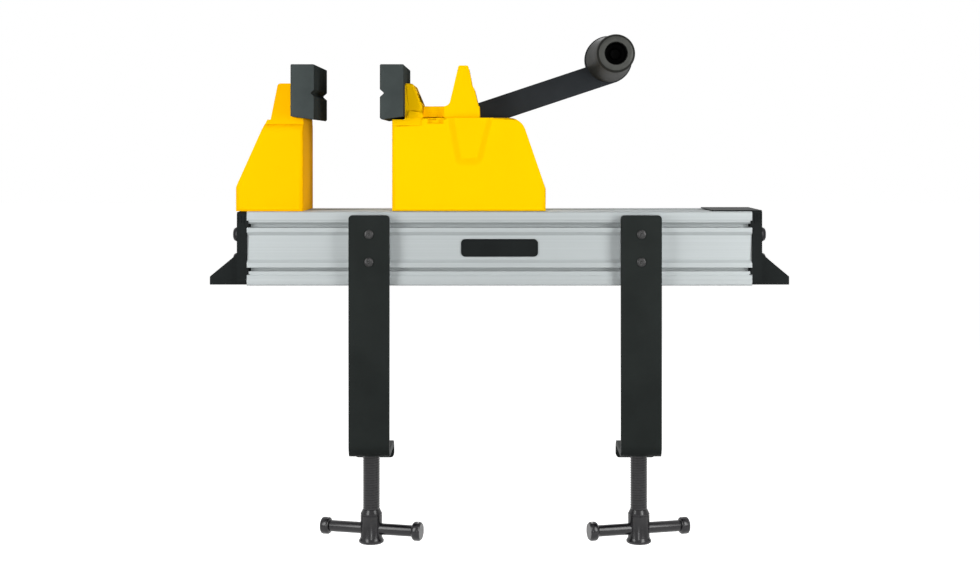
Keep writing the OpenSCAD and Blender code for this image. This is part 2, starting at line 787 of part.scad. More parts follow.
// Anchor block: fills the top slot under the fixed jaw
module fixed_jaw_anchor() {
    half = slot_in_w / 2 - run_gap;
    key = slot_open / 2 - run_gap;
    low = slot_floor_z + 2 * run_gap;
    high = rail_h - slot_lip;
    color(STEEL) difference() {
        translate([anchor_mid_x, 0, 0]) along_x(anchor_len) polygon([[-half, low], [half, low],
            [half, high], [key, high], [key, rail_h], [-key, rail_h], [-key, high], [-half, high]]);
        for (x = anchor_xs) {
            translate([x, 0, low - 1]) cylinder(d = anchor_screw_d + 4.4, h = 5);
            translate([x, 0, low]) cylinder(d = anchor_screw_d + 2 * fit, h = slot_in_h + slot_lip + 2);
        }
    }
}

module anchor_screws() {
    z = slot_floor_z + 2 * run_gap + 4;
    color(STEEL) for (x = anchor_xs) {
        translate([x, 0, z]) rotate([180, 0, 0]) screw(anchor_screw_d, 26, anchor_screw_d + 4, 3.6);
    }
}

// Pads: profile with its gripping face at x = 0 and its back at x = pad_t
module pad_profile() {
    t = pad_t;
    r = pad_round;
    difference() {
        polygon(concat([[r, 0], [t, pad_rise]], arc(t - r, pad_h - r, r, 0, 90, 4),
            arc(r, pad_h - r, r, 90, 180, 4), [[0, r]]));
        polygon([[-1, vee_z - vee_w / 2], [0, vee_z - vee_w / 2], [vee_d, vee_z],
            [0, vee_z + vee_w / 2], [-1, vee_z + vee_w / 2]]);
    }
}

module pad() {
    difference() {
        intersection() {
            translate([0, 0, ledge_z]) along_y(pad_w) pad_profile();
            translate([pad_t / 2, 0, ledge_z - 1]) linear_extrude(pad_h + 2) {
                round_rect(pad_t, pad_w, pad_round);
            }
        }
        pad_screw_places() translate([pad_t - pad_screw_in - 1, 0, 0]) rotate([0, 90, 0]) {
            cylinder(d = pad_screw_d + 2 * fit, h = pad_screw_in + 2);
        }
    }
}

module pad_screws() {
    pad_screw_places() translate([pad_seat_t, 0, 0]) rotate([0, 90, 0]) {
        screw(pad_screw_d, pad_seat_t + pad_screw_in, pad_screw_d + 3.6, 4);
    }
}

module fixed_jaw_pad() {
    color(PAD_GREY) translate([fixed_face_x, 0, 0]) mirror([1, 0, 0]) pad();
}

module fixed_pad_screws() {
    color(STEEL) translate([fixed_horn_x, 0, 0]) mirror([1, 0, 0]) pad_screws();
}

module moving_jaw_pad() {
    color(PAD_GREY) translate([moving_face_x, 0, 0]) pad();
}

module moving_pad_screws() {
    color(STEEL) translate([moving_horn_x, 0, 0]) pad_screws();
}

// Rack
function rack_screw_xs() = [rack_xs[0] - rack_tab / 2, rack_xs[1] + rack_tab / 2];

module rack() {
    x0 = rack_xs[0];
    count = teeth_back + teeth_ahead;
    root_z = slot_floor_z + rack_base;
    teeth = [for (i = [0:count - 1]) let (c = x0 + (i + 0.5) * tooth_pitch)
        each [[c - tooth_root / 2, root_z], [c - tooth_tip / 2, rack_tip_z],
            [c + tooth_tip / 2, rack_tip_z], [c + tooth_root / 2, root_z]]];
    color(STEEL) difference() {
        along_y(rack_w) polygon(concat([[x0 - rack_tab, slot_floor_z], [x0 - rack_tab, root_z]], teeth,
            [[rack_xs[1] + rack_tab, root_z], [rack_xs[1] + rack_tab, slot_floor_z]]));
        for (x = rack_screw_xs()) {
            translate([x, 0, slot_floor_z - 1]) cylinder(d = small_screw_d + 2 * fit, h = rack_base + 2);
        }
    }
}

module rack_screws() {
    color(STEEL) for (x = rack_screw_xs()) translate([x, 0, slot_floor_z + rack_base]) {
        screw(small_screw_d, rack_base + slot_floor, small_head_d, small_head_h);
    }
}

// Moving jaw
function rear_x(z) = moving_rear_x - (z - rail_h - knee_h) * tan(rear_lean);

module moving_profile() {
    corner_x = rear_x(deck_z);
    reach = shoulder_r * tan((90 - rear_lean) / 2);
    polygon(concat([[moving_front_x, slide_z], [moving_front_x, ledge_z], [moving_horn_x, ledge_z],
        [moving_horn_x, deck_z]], arc(corner_x - reach, deck_z - shoulder_r, shoulder_r, 90, rear_lean, 8),
        [[moving_rear_x, rail_h + knee_h], [moving_rear_x, slide_z]]));
}

module moving_horn_profile() {
    r = horn_round;
    foot_x = moving_horn_x + moving_horn_foot;
    top_x = moving_horn_x + moving_horn_top;
    polygon(concat([[moving_horn_x, ledge_z - 2], [foot_x, ledge_z - 2], [foot_x, saddle_z]],
        arc(top_x - r, horn_z - r, r, 21, 90, 6), arc(moving_horn_x + 1, horn_z - 1, 1, 90, 180, 3)));
}

// Wider foot of the moving horn, with a sloping top
module horn_foot_profile() {
    foot_x = moving_horn_x + moving_horn_foot;
    polygon([[moving_horn_x + 1, ledge_z - 1], [foot_x + 1, ledge_z - 1],
        [foot_x, deck_z + horn_foot_h - 1.5], [moving_horn_x + 3, deck_z + horn_foot_h]]);
}

// Set-back sides under the pad and the pockets between horn and cover
module deck_cuts() {
    side = jaw_w / 2;
    end_x = moving_horn_x + moving_horn_foot;
    pocket_x = pivot_x - cheek_back - pocket_len;
    both_sides() {
        translate([moving_front_x - 1, side - ledge_set, ledge_z - ledge_band]) {
            cube([end_x - moving_front_x + 1, ledge_set + 1, ledge_band + 2]);
        }
        translate([pocket_x, side - pocket_d, deck_z - ledge_band]) {
            cube([pocket_len, pocket_d + 1, ledge_band + 1]);
        }
    }
}

module rib_outline(top_x, top_w, low_w, low_z) {
    polygon([[top_x - top_w / 2, deck_z], [top_x + top_w / 2, deck_z],
        [pivot_x + low_w / 2, low_z], [pivot_x - low_w / 2, low_z]]);
}

module side_rib() {
    w = jaw_w / 2;
    z = deck_z - rib_drop;
    hull() {
        translate([0, w - 0.25, 0]) along_y(0.5) {
            rib_outline(pivot_x + 1.3, rib_top_w, rib_foot_w, z);
        }
        translate([0, w + rib_out - 0.05, 0]) along_y(0.1) {
            rib_outline(pivot_x, rib_face_top_w, rib_face_foot_w, z + rib_foot_slope);
        }
    }
}

// Inside of the moving jaw, less the bosses, guide walls and pivot blocks that stay
module moving_hollow() {
    t = jaw_wall;
    side = t / cos(rear_lean);
    top = deck_z - deck_t;
    difference() {
        along_y(jaw_w - 2 * t) polygon([[moving_front_x + t, slide_z - 1],
            [moving_front_x + t, top], [rear_x(top) - side, top],
            [moving_rear_x - side, rail_h + knee_h], [moving_rear_x - side, slide_z - 1]]);
        for (x = boss_xs, s = [-1, 1]) {
            translate([x, s * boss_y, plate_top_z]) cylinder(r = boss_r, h = boss_h);
        }
        for (x = [pivot_x - pawl_len / 2 - run_gap - guide_wall, pivot_x + pawl_len / 2 + run_gap]) {
            translate([x, -jaw_w / 2, plate_top_z]) cube([guide_wall, jaw_w, rail_h + guide_h - plate_top_z]);
        }
        translate([pivot_x - cover_back, -cover_w / 2 + cheek_t, deck_z - block_h]) {
            cube([cover_back + 10, cover_w - 2 * cheek_t, block_h]);
        }
    }
}

// Room for the lever to swing, seen from the side
module lever_room() {
    drop = tan(lever_down - lever_tilt);
    low_z = pivot_z - (lever_w / 2 + 1.5) / cos(lever_down - lever_tilt);
    end_x = moving_rear_x + 2;
    polygon([[pivot_x - 11.5, deck_z + 1], [pivot_x - 11.5, deck_z - block_h - 1],
        [pivot_x + 6, deck_z - block_h - 1], [pivot_x + 12, low_z - 12 * drop - 2],
        [end_x, low_z - (end_x - pivot_x) * drop], [end_x, deck_z + 1]]);
}

module pivot_bore() {
    translate([pivot_x, 0, pivot_z]) rotate([90, 0, 0]) {
        cylinder(d = pivot_d + 2 * fit, h = pivot_len + 4 * fit, center = true);
    }
}

module cover_screw_places() {
    seat_z = saddle_z - cover_head_h - 0.2;
    for (x = [pivot_x, pivot_x - cover_back + 5], s = [-1, 1]) {
        translate([x, s * cover_screw_y, seat_z]) children();
    }
}

module moving_jaw() {
    web_x = moving_horn_x + moving_horn_foot - 1;
    color(YELLOW) difference() {
        union() {
            jaw_shape(moving_front_x, moving_rear_x, deck_z, deck_round) moving_profile();
            along_y(horn_w) moving_horn_profile();
            along_y(horn_w + 2 * horn_foot_out) horn_foot_profile();
            both_sides() side_rib();
            translate([web_x, -web_half, ledge_z]) {
                cube([pivot_x - cover_back - web_x, 2 * web_half, saddle_z - ledge_z]);
            }
        }
        moving_hollow();
        deck_cuts();
        along_y(2 * slot_half) lever_room();
        pivot_bore();
        cover_screw_places() translate([0, 0, -cover_screw_len - 1]) {
            cylinder(d = cover_screw_d + 2 * fit, h = cover_screw_len);
        }
        pad_screw_places() translate([moving_horn_x, 0, 0]) pad_screw_cut();
        for (x = boss_xs, s = [-1, 1]) {
            translate([x, s * boss_y, plate_top_z - 1]) cylinder(d = small_screw_d + 2 * fit, h = 14);
        }
    }
}

// Mechanism cover with its pointed cheeks
module cheek_profile() {
    back = pivot_x - cheek_back;
    tip = pivot_x - peak_tip / 2 - 3.5;
    top = deck_z + peak_h;
    f = cheek_fillet;
    r = 1.2;
    polygon(concat([[back, deck_z]], arc(back, saddle_z + f, f, 270, 347, 6),
        arc(tip + r, top - r, r, 166, 90, 4), arc(tip + peak_tip - r, top - r, r, 90, 14, 4),
        [[pivot_x + 2.5, deck_z + 23.4], [pivot_x + 4.3, deck_z + 20.6],
            [pivot_x + cover_front - 0.8, deck_z + 7.6], [pivot_x + cover_front, deck_z]]));
}

module mechanism_cover() {
    color(YELLOW) difference() {
        union() {
            translate([pivot_x - cheek_back, -cover_w / 2, deck_z]) {
                cube([cheek_back + cover_front, cover_w, saddle_h]);
            }
            translate([pivot_x - cover_back, -cover_w / 2 + cheek_t, deck_z]) {
                cube([cover_back, cover_w - 2 * cheek_t, saddle_h]);
            }
            both_sides() translate([0, (cover_w - cheek_t) / 2, 0]) along_y(cheek_t) cheek_profile();
        }
        along_y(2 * slot_half) translate([pivot_x - 11.5, deck_z - 1]) {
            square([12.5 + cover_front, saddle_h + 2]);
        }
        pivot_bore();
        cover_screw_places() {
            cylinder(d = cover_head_d + 0.4, h = cover_head_h + 1.2);
            translate([0, 0, -saddle_h]) cylinder(d = cover_screw_d + 2 * fit, h = saddle_h + 1);
        }
    }
}

module cover_screws() {
    color(STEEL) cover_screw_places() {
        screw(cover_screw_d, cover_screw_len, cover_head_d, cover_head_h);
    }
}

module pivot_pin() {
    color(STEEL) translate([pivot_x, 0, pivot_z]) rotate([90, 0, 0]) {
        cylinder(d = pivot_d, h = pivot_len, center = true);
    }
}

// Slide plate and the guide shoes that run in the top slot
module shoe_screw_places() {
    for (x = shoe_xs, s = [-1, 1]) translate([x + s * shoe_pitch / 2, 0, rack_tip_z + 0.4]) children();
}

module slide_plate() {
    x0 = moving_front_x + jaw_wall + run_gap;
    x1 = moving_rear_x - jaw_wall - 2 * run_gap;
    w = jaw_w - 2 * jaw_wall - 2 * run_gap;
    color(STEEL) difference() {
        union() {
            translate([x0, -w / 2, slide_z]) cube([x1 - x0, w, plate_t]);
            for (s = [-1, 1]) translate([pivot_x, s * spring_y, slide_z + 1]) {
                cylinder(r = post_r, h = plate_t - 1 + post_h);
            }
        }
        translate([pivot_x, 0, slide_z + plate_t / 2]) {
            cube([pawl_len + 2 * run_gap, pawl_w + 2 * run_gap, plate_t + 2], center = true);
        }
        for (x = boss_xs, s = [-1, 1]) translate([x, s * boss_y, slide_z]) {
            translate([0, 0, -1]) cylinder(d = small_head_d + 0.4, h = small_head_h + 1.1);
            cylinder(d = small_screw_d + 2 * fit, h = plate_t + 1);
        }
        shoe_screw_places() cylinder(d = small_screw_d + 2 * fit, h = slide_z + plate_t);
    }
}

module slide_plate_screws() {
    color(STEEL) for (x = boss_xs, s = [-1, 1]) translate([x, s * boss_y, slide_z + small_head_h + 0.1]) {
        rotate([180, 0, 0]) screw(small_screw_d, plate_screw_len, small_head_d, small_head_h);
    }
}

module guide_shoe(mid_x) {
    half = slot_in_w / 2 - run_gap;
    stem = slot_open / 2 - run_gap;
    low = slot_floor_z + run_gap;
    high = rail_h - slot_lip - run_gap;
    room = rack_w / 2 + 0.6;
    difference() {
        translate([mid_x, 0, 0]) along_x(shoe_len) polygon([[-half, low], [-room, low],
            [-room, rack_tip_z + 0.4], [room, rack_tip_z + 0.4], [room, low], [half, low],
            [half, high], [stem, high], [stem, slide_z], [-stem, slide_z], [-stem, high], [-half, high]]);
        shoe_screw_places() {
            translate([0, 0, -1]) cylinder(d = small_head_d + 0.4, h = small_head_h + 1.1);
            cylinder(d = small_screw_d + 2 * fit, h = slide_z);
        }
    }
}

module front_guide_shoe() {
    color(BLACK) guide_shoe(shoe_xs[0]);
}

module rear_guide_shoe() {
    color(BLACK) guide_shoe(shoe_xs[1]);
}

module guide_shoe_screws() {
    len = plate_top_z - rack_tip_z - 0.4 - small_head_h - 0.3;
    color(STEEL) shoe_screw_places() translate([0, 0, small_head_h + 0.1]) rotate([180, 0, 0]) {
        screw(small_screw_d, len, small_head_d, small_head_h);
    }
}

// Locking pawl: teeth at its foot, a crossbar over the springs and a flat face under the cam
module locking_pawl() {
    tip_z = rack_tip_z + pawl_lift;
    root_z = tip_z + pawl_tooth_h;
    half = pawl_len / 2;
    n = floor((half - pawl_tooth_root / 2) / tooth_pitch);
    teeth = [for (i = [n:-1:-n]) let (c = pivot_x + i * tooth_pitch)
        each [[c + pawl_tooth_root / 2, root_z], [c + pawl_tooth_tip / 2, tip_z],
            [c - pawl_tooth_tip / 2, tip_z], [c - pawl_tooth_root / 2, root_z]]];
    bar_w = jaw_w - 2 * jaw_wall - 2 * run_gap;
    color(STEEL) {
        along_y(pawl_w) polygon(concat([[pivot_x - half, root_z], [pivot_x - half, bar_top_z - 1],
            [pivot_x + half, bar_top_z - 1], [pivot_x + half, root_z]], teeth));
        translate([pivot_x - half, -bar_w / 2, bar_top_z - bar_h]) cube([pawl_len, bar_w, bar_h]);
        translate([pivot_x - cam_pad_back, -lever_t / 2, bar_top_z - 1]) {
            cube([cam_pad_back + cam_pad_ahead, lever_t, cam_face_z - bar_top_z + 1]);
        }
    }
}

// Pawl springs: one round wire swept along a helix
spring_z0 = plate_top_z + spring_wire / 2 + 0.1;
spring_z1 = bar_top_z - bar_h - spring_wire / 2 - 0.1;
coil_rings = 8;
coil_sides = 6;

coil_rise = (spring_z1 - spring_z0) / (coil_rings * spring_turns);

function coil_point(i) = let (a = 360 * i / coil_rings)
    [spring_r * cos(a), spring_r * sin(a), spring_z0 + coil_rise * i];

function coil_ring(i) = let (a = 360 * i / coil_rings, c = coil_point(i), r = spring_wire / 2)
    [for (k = [0:coil_sides - 1]) let (b = 360 * k / coil_sides)
        c + r * [cos(b) * cos(a), cos(b) * sin(a), sin(b)]];

module pawl_spring() {
    last = coil_rings * spring_turns;
    points = [for (i = [0:last]) each coil_ring(i)];
    walls = [for (i = [0:last - 1], k = [0:coil_sides - 1]) let (j = (k + 1) % coil_sides, a = i * coil_sides)
        each [[a + k, a + coil_sides + k, a + j], [a + j, a + coil_sides + k, a + coil_sides + j]]];
    top = last * coil_sides;
    start = [for (k = [1:coil_sides - 2]) [0, k, k + 1]];
    end = [for (k = [1:coil_sides - 2]) [top, top + k + 1, top + k]];
    polyhedron(points, concat(walls, start, end));
}

echo(least_gap_between_turns = norm(coil_point(coil_rings) - coil_point(0)) - spring_wire);

module near_pawl_spring() {
    color(STEEL) translate([pivot_x, -spring_y, 0]) pawl_spring();
}

module far_pawl_spring() {
    color(STEEL) translate([pivot_x, spring_y, 0]) pawl_spring();
}

// Lever: bar, hub, eye and a cam whose height below the pivot grows evenly with the turn
cam_from = -lever_up - 1;
cam_to = lever_down + 2;

function cam_point(a) = let (h = cam_h + cam_rise * a * PI / 180)
    [h * sin(a) + cam_rise * cos(a), -h * cos(a) + cam_rise * sin(a)];

module lever_profile() {
    difference() {
        union() {
            circle(hub_r);
            rotate(lever_tilt) translate([0, -lever_w / 2]) square([lever_len, lever_w]);
            rotate(lever_tilt) translate([lever_len, lever_w / 2]) circle(eye_r);
            polygon(concat([[0, 0]], [for (i = [0:18]) cam_point(cam_from + (cam_to - cam_from) * i / 18)]));
        }
        circle(d = pivot_d + 2 * fit);
        rotate(lever_tilt) translate([lever_len, lever_w / 2]) circle(d = spindle_d + 2 * fit);
    }
}

module lever_arm() {
    color(BLACK) translate([pivot_x, 0, pivot_z]) along_y(lever_t) lever_profile();
}

// Grip: spindle riveted in the eye, sleeve, washer and screw
module at_grip(y) {
    translate([grip_x, y, grip_z]) rotate([90, 0, 0]) children();
}

module grip_spindle() {
    len = lever_t / 2 - spindle_end_y;
    color(STEEL) difference() {
        union() {
            at_grip(lever_t / 2 + eps) cylinder(d = spindle_d, h = len);
            at_grip(lever_t / 2 + 2.2) cylinder(d1 = spindle_d + 3, d2 = spindle_d + 6, h = 2.2);
        }
        at_grip(spindle_end_y + 14) cylinder(d = 5 + 2 * fit, h = 15);
    }
}

module grip_profile() {
    bore = spindle_d / 2 + 2 * fit;
    base = grip_base_r;
    tip = grip_end_r;
    flat = recess_r + ring_w;
    round_r = tip - flat;
    polygon(concat([[bore, 0]], arc(base - 1.5, 1.5, 1.5, 270, 360, 4),
        [[base - 0.5, 8], [tip + 0.7, grip_len * 0.55]],
        arc(tip - round_r, grip_len - round_r, round_r, 0, 90, 5),
        [[recess_r, grip_len], [recess_r - 0.4, grip_len - recess_d], [bore, grip_len - recess_d]]));
}

module grip_sleeve() {
    color(BLACK) at_grip(grip_y) rotate_extrude() grip_profile();
}

module grip_washer() {
    color(STEEL) at_grip(spindle_end_y) difference() {
        cylinder(r = washer_r, h = washer_t);
        translate([0, 0, -1]) cylinder(d = 5 + 2 * fit, h = washer_t + 2);
    }
}

module grip_screw() {
    color(STEEL) at_grip(spindle_end_y - washer_t) screw(5, 13, 8.6, 3);
}

// Clamps, drawn at x = 0 with the bar's forged head turned by turn
module strap_side() {
    yf = strap_front_y;
    yb = yf + foot_len;
    top = rail_h - strap_down;
    low = -clamp_drop;
    t = strap_t;
    r = bend_r;
    polygon(concat([[yf, top]], arc(yf + r, low + r, r, 180, 270, 8), [[yb - t, low], [yb - t, low - lip_len],
        [yb, low - lip_len]], arc(yb - r, low + t - r, r, 0, 90, 8),
        arc(yf + r, low + r, r - t, 270, 180, 8), [[yf + t, top]]));
}

module clamp_strap() {
    top = rail_h - strap_down;
    h = top + clamp_drop + lip_len;
    rivet_zs = [rail_h - rivet_top, rivet_low];
    difference() {
        intersection() {
            along_x(strap_w) strap_side();
            translate([0, 0, top - h / 2]) along_y(3 * foot_len) round_rect(strap_w, h, strap_round);
        }
        translate([0, screw_y, -clamp_drop - 1]) cylinder(d = screw_d + 0.8, h = strap_t + 2);
        for (z = rivet_zs) translate([0, strap_front_y - 1, z]) rotate([-90, 0, 0]) {
            cylinder(d = rivet_d + 2 * fit, h = strap_t + 2);
        }
    }
}

module clamp_slider() {
    g = run_gap;
    w = rail_w / 2;
    low = slider_in;
    high = rail_h - slider_in;
    in_y = w - lip_t - g;
    back_y = undercut_back + g;
    up = upper_groove_z + g;
    dn = bottom_lip + groove_gap - g;
    rivet_zs = [rail_h - rivet_top, rivet_low];
    difference() {
        mirror([0, 1, 0]) along_x(strap_w) {
            translate([w + g, low]) square([slider_t, high - low]);
            translate([back_y, up]) square([w + g - back_y + eps, groove_gap - 2 * g]);
            translate([back_y, up]) square([in_y - back_y, groove_gap - 2 * g + undercut_h]);
            translate([back_y, dn - groove_gap + 2 * g]) square([w + g - back_y + eps, groove_gap - 2 * g]);
            translate([back_y, dn - groove_gap + 2 * g - undercut_h]) {
                square([in_y - back_y, groove_gap - 2 * g + undercut_h]);
            }
        }
        for (z = rivet_zs) translate([0, slider_front_y, z]) rotate([-90, 0, 0]) {
            translate([0, 0, -1]) cylinder(d = rivet_d + 2 * fit, h = slider_t + 2);
            translate([0, 0, slider_t - rivet_sink]) {
                cylinder(d1 = rivet_d + 2 * fit, d2 = rivet_d + 2 * rivet_sink, h = rivet_sink + eps);
            }
        }
    }
}

module clamp_rivets() {
    for (z = [rail_h - rivet_top, rivet_low]) translate([0, slider_back_y, z]) rotate([90, 0, 0]) {
        cylinder(d = rivet_d, h = slider_t + strap_t + eps);
        cylinder(d1 = rivet_d + 2 * (rivet_sink - fit), d2 = rivet_d, h = rivet_sink);
        translate([0, 0, slider_t + strap_t]) {
            cylinder(d1 = rivet_head_d, d2 = rivet_head_d * 0.6, h = rivet_head_h);
        }
    }
}

module clamp_nut() {
    translate([0, screw_y, -clamp_drop + strap_t]) difference() {
        cylinder(d = nut_af / cos(30), h = nut_h, $fn = 6);
        translate([0, 0, -1]) cylinder(d = screw_d + 2 * fit, h = nut_h + 2);
    }
}

module swivel_pad() {
    top = -bench_gap;
    foot = ball_z - ball_r - 0.6;
    translate([0, screw_y, 0]) difference() {
        rotate_extrude() polygon([[0, foot], [socket_r - 1, foot], [socket_r, foot + 1],
            [socket_r, top - swivel_t - 1], [swivel_r, top - swivel_t], [swivel_r, top - 0.6],
            [swivel_r - 0.6, top], [0, top]]);
        translate([0, 0, ball_z]) sphere(ball_r + run_gap);
        translate([0, 0, foot - 1]) cylinder(r = neck_r + 0.6, h = ball_z - foot + 1);
    }
}

module clamp_screw(turn) {
    top = ball_z - ball_r - 2.5;
    hub = -hub_drop;
    foot = hub - hub_h;
    r = screw_d / 2;
    translate([0, screw_y, 0]) difference() {
        union() {
            translate([0, 0, ball_z]) sphere(ball_r);
            translate([0, 0, top - 1]) cylinder(r = neck_r, h = ball_z - top + 1);
            rotate_extrude() polygon([[0, foot], [rim_r - 0.8, foot], [rim_r, foot + 0.8],
                [rim_r, foot + 1.8], [screw_hub_r, foot + 4.2], [screw_hub_r, hub - 3.4],
                [screw_hub_r - 0.5, hub - 2.6], [r, hub], [r, top - 1.2], [r - 1.2, top], [0, top]]);
        }
        translate([0, 0, bar_z]) rotate([0, 90, turn]) {
            cylinder(d = bar_d + 2 * bar_fit, h = 3 * rim_r, center = true);
        }
    }
}

module at_bar(turn) {
    translate([0, screw_y, bar_z]) rotate([0, 90, turn]) children();
}

// Turned head with a waist, from its inner face outwards
module tommy_head(d) {
    r = d / 2;
    rotate_extrude() polygon([[0, 0], [bar_d / 2 + 0.4, 0], [r, 1.6], [r, head_len - 1],
        [r - 1, head_len], [0, head_len]]);
}

module tommy_bar(turn) {
    reach = bar_len / 2 - head_len;
    at_bar(turn) {
        translate([0, 0, -bar_len / 2 + 0.5]) cylinder(d = bar_d, h = bar_len - head_len);
        translate([0, 0, reach]) tommy_head(head_d);
    }
}

module tommy_cap(turn) {
    reach = bar_len / 2 - head_len;
    at_bar(turn) rotate([180, 0, 0]) translate([0, 0, reach]) difference() {
        tommy_head(tommy_cap_d);
        translate([0, 0, -1]) cylinder(d = bar_d + 2 * fit, h = head_len + 0.6);
    }
}

module left_clamp() {
    translate([left_clamp_x, 0, 0]) children();
}

module right_clamp() {
    translate([right_clamp_x, 0, 0]) children();
}

rail();
left_end_cap();
right_end_cap();
color(STEEL) mirror([1, 0, 0]) cap_screws();  // left_cap_screws
color(STEEL) cap_screws();  // right_cap_screws
fixed_jaw();
fixed_jaw_pad();
fixed_pad_screws();
fixed_jaw_anchor();
anchor_screws();
rack();
rack_screws();
moving_jaw();
mechanism_cover();
cover_screws();
moving_jaw_pad();
moving_pad_screws();
slide_plate();
slide_plate_screws();
front_guide_shoe();
rear_guide_shoe();
guide_shoe_screws();
pivot_pin();
near_pawl_spring();
far_pawl_spring();
lever_arm();
grip_spindle();
grip_washer();
grip_screw();
grip_sleeve();
locking_pawl();
color(BLACK) left_clamp() clamp_strap();  // left_clamp_strap
color(STEEL) left_clamp() clamp_slider();  // left_clamp_slider
color(BLACK) left_clamp() clamp_rivets();  // left_clamp_rivets
color(BLACK) left_clamp() clamp_nut();  // left_clamp_nut
color(BLACK) left_clamp() swivel_pad();  // left_swivel_pad
color(BLACK) left_clamp() clamp_screw(-bar_turn);  // left_clamp_screw
color(BLACK) left_clamp() tommy_bar(-bar_turn);  // left_tommy_bar
color(BLACK) left_clamp() tommy_cap(-bar_turn);  // left_tommy_cap
color(BLACK) right_clamp() clamp_strap();  // right_clamp_strap
color(STEEL) right_clamp() clamp_slider();  // right_clamp_slider
color(BLACK) right_clamp() clamp_rivets();  // right_clamp_rivets
color(BLACK) right_clamp() clamp_nut();  // right_clamp_nut
color(BLACK) right_clamp() swivel_pad();  // right_swivel_pad
color(BLACK) right_clamp() clamp_screw(180 + bar_turn);  // right_clamp_screw
color(BLACK) right_clamp() tommy_bar(180 + bar_turn);  // right_tommy_bar
color(BLACK) right_clamp() tommy_cap(180 + bar_turn);  // right_tommy_cap
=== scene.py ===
"""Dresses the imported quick-release bench vise: mouldings, threads, screw heads and finishes.

Sizes in the lists below are millimetres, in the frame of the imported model: X runs along the rail,
-Y faces the user and Z is up from the rail's underside.
"""

import json
import math
from contextlib import contextmanager

import bmesh
import bpy
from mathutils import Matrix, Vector


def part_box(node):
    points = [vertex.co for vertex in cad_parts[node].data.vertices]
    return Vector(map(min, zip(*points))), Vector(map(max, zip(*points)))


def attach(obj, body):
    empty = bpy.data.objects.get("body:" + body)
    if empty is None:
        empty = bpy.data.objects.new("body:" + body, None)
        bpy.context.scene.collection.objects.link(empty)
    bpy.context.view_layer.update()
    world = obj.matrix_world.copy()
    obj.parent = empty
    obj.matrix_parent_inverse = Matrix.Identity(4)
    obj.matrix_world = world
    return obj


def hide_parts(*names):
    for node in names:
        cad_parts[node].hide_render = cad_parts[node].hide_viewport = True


bl_info = {
    "name": "Quick-Release Bench Vise",
    "version": (1, 0, 0),
    "blender": (4, 5, 0),
    "location": "View3D > Sidebar > Bench Vise",
    "description": "Builds the visible pieces of a bench vise around its packed model",
    "category": "Add Mesh",
}

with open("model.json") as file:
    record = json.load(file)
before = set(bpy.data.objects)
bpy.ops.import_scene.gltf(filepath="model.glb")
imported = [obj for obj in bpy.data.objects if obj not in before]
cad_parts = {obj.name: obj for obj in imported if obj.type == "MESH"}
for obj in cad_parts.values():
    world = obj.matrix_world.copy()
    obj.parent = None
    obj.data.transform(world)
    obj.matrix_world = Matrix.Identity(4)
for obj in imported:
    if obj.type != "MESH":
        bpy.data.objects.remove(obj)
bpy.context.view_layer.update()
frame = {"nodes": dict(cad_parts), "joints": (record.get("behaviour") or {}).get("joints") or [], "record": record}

MM = 0.001
SIDES = {"left": -1, "right": 1}

IMAGE_WIDTH = 980
FOCAL_PX = 1571.4
EYE = (0.35, -1133.0, 95.0)
AXIS_OFF_CENTRE_PX = (-10, -144)
SENSOR_WIDTH = 36
LAMP_WIDTH, LAMP_HEIGHT = 0.18, 0.4
FLOOR_SIZE, FLOOR_GLOW, FLOOR_DULLING = 16, 0.88, 0.4
SURROUND_LIGHT = 0.15

# Distances, in millimetres, under which corners become one
RING_MERGE, NODE_MERGE = 0.002, 0.003


# Reading places from the frame

def box_mm(node):
    """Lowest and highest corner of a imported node, in millimetres."""
    low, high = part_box(node)
    return low / MM, high / MM


def middle_mm(node):
    """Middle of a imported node's box, in millimetres."""
    low, high = box_mm(node)
    return (low + high) / 2


def settings():
    """The sizes and colours set in the sidebar."""
    return bpy.context.scene.bench_vise


# Selecting and shaping, as by hand

def use(piece):
    """Makes one piece the only selected and active object."""
    bpy.ops.object.select_all(action="DESELECT")
    piece.select_set(True)
    bpy.context.view_layer.objects.active = piece


@contextmanager
def editing(piece):
    """Opens a piece in edit mode with nothing selected."""
    use(piece)
    bpy.ops.object.mode_set(mode="EDIT")
    bpy.ops.mesh.select_all(action="DESELECT")
    yield
    bpy.ops.object.mode_set(mode="OBJECT")


def pick_faces(piece, test):
    """Selects the faces whose middle, in millimetres, and normal pass the test."""
    bpy.ops.mesh.select_mode(type="FACE")
    mesh = bmesh.from_edit_mesh(piece.data)
    for face in mesh.faces:
        face.select_set(test(face.calc_center_median() / MM, face.normal))
    bmesh.update_edit_mesh(piece.data)


def pick_edges(piece, test):
    """Selects the edges whose middle, in millimetres, and direction pass the test."""
    bpy.ops.mesh.select_mode(type="EDGE")
    mesh = bmesh.from_edit_mesh(piece.data)
    for edge in mesh.edges:
        first, second = (vert.co for vert in edge.verts)
        edge.select_set(test((first + second) / 2 / MM, (second - first).normalized()))
    bmesh.update_edit_mesh(piece.data)


def place(piece):
    """Moves a piece's place into its mesh, so that its object sits at the origin."""
    use(piece)
    bpy.ops.object.transform_apply(location=True, rotation=True, scale=True)


def block(name, low, high):
    """Adds a block between two corners."""
    bpy.ops.object.select_all(action="DESELECT")
    middle = [(a + b) / 2 * MM for a, b in zip(low, high)]
    size = [(b - a) * MM for a, b in zip(low, high)]
    bpy.ops.mesh.primitive_cube_add(size=1, location=middle, scale=size)
    piece = bpy.context.object
    piece.name = name
    place(piece)
    return piece


def round_edges(piece, radius, segments, test):
    """Rounds the chosen edges of a piece."""
    with editing(piece):
        pick_edges(piece, test)
        bpy.ops.mesh.bevel(offset=radius * MM, segments=segments, affect="EDGES", profile=0.5)


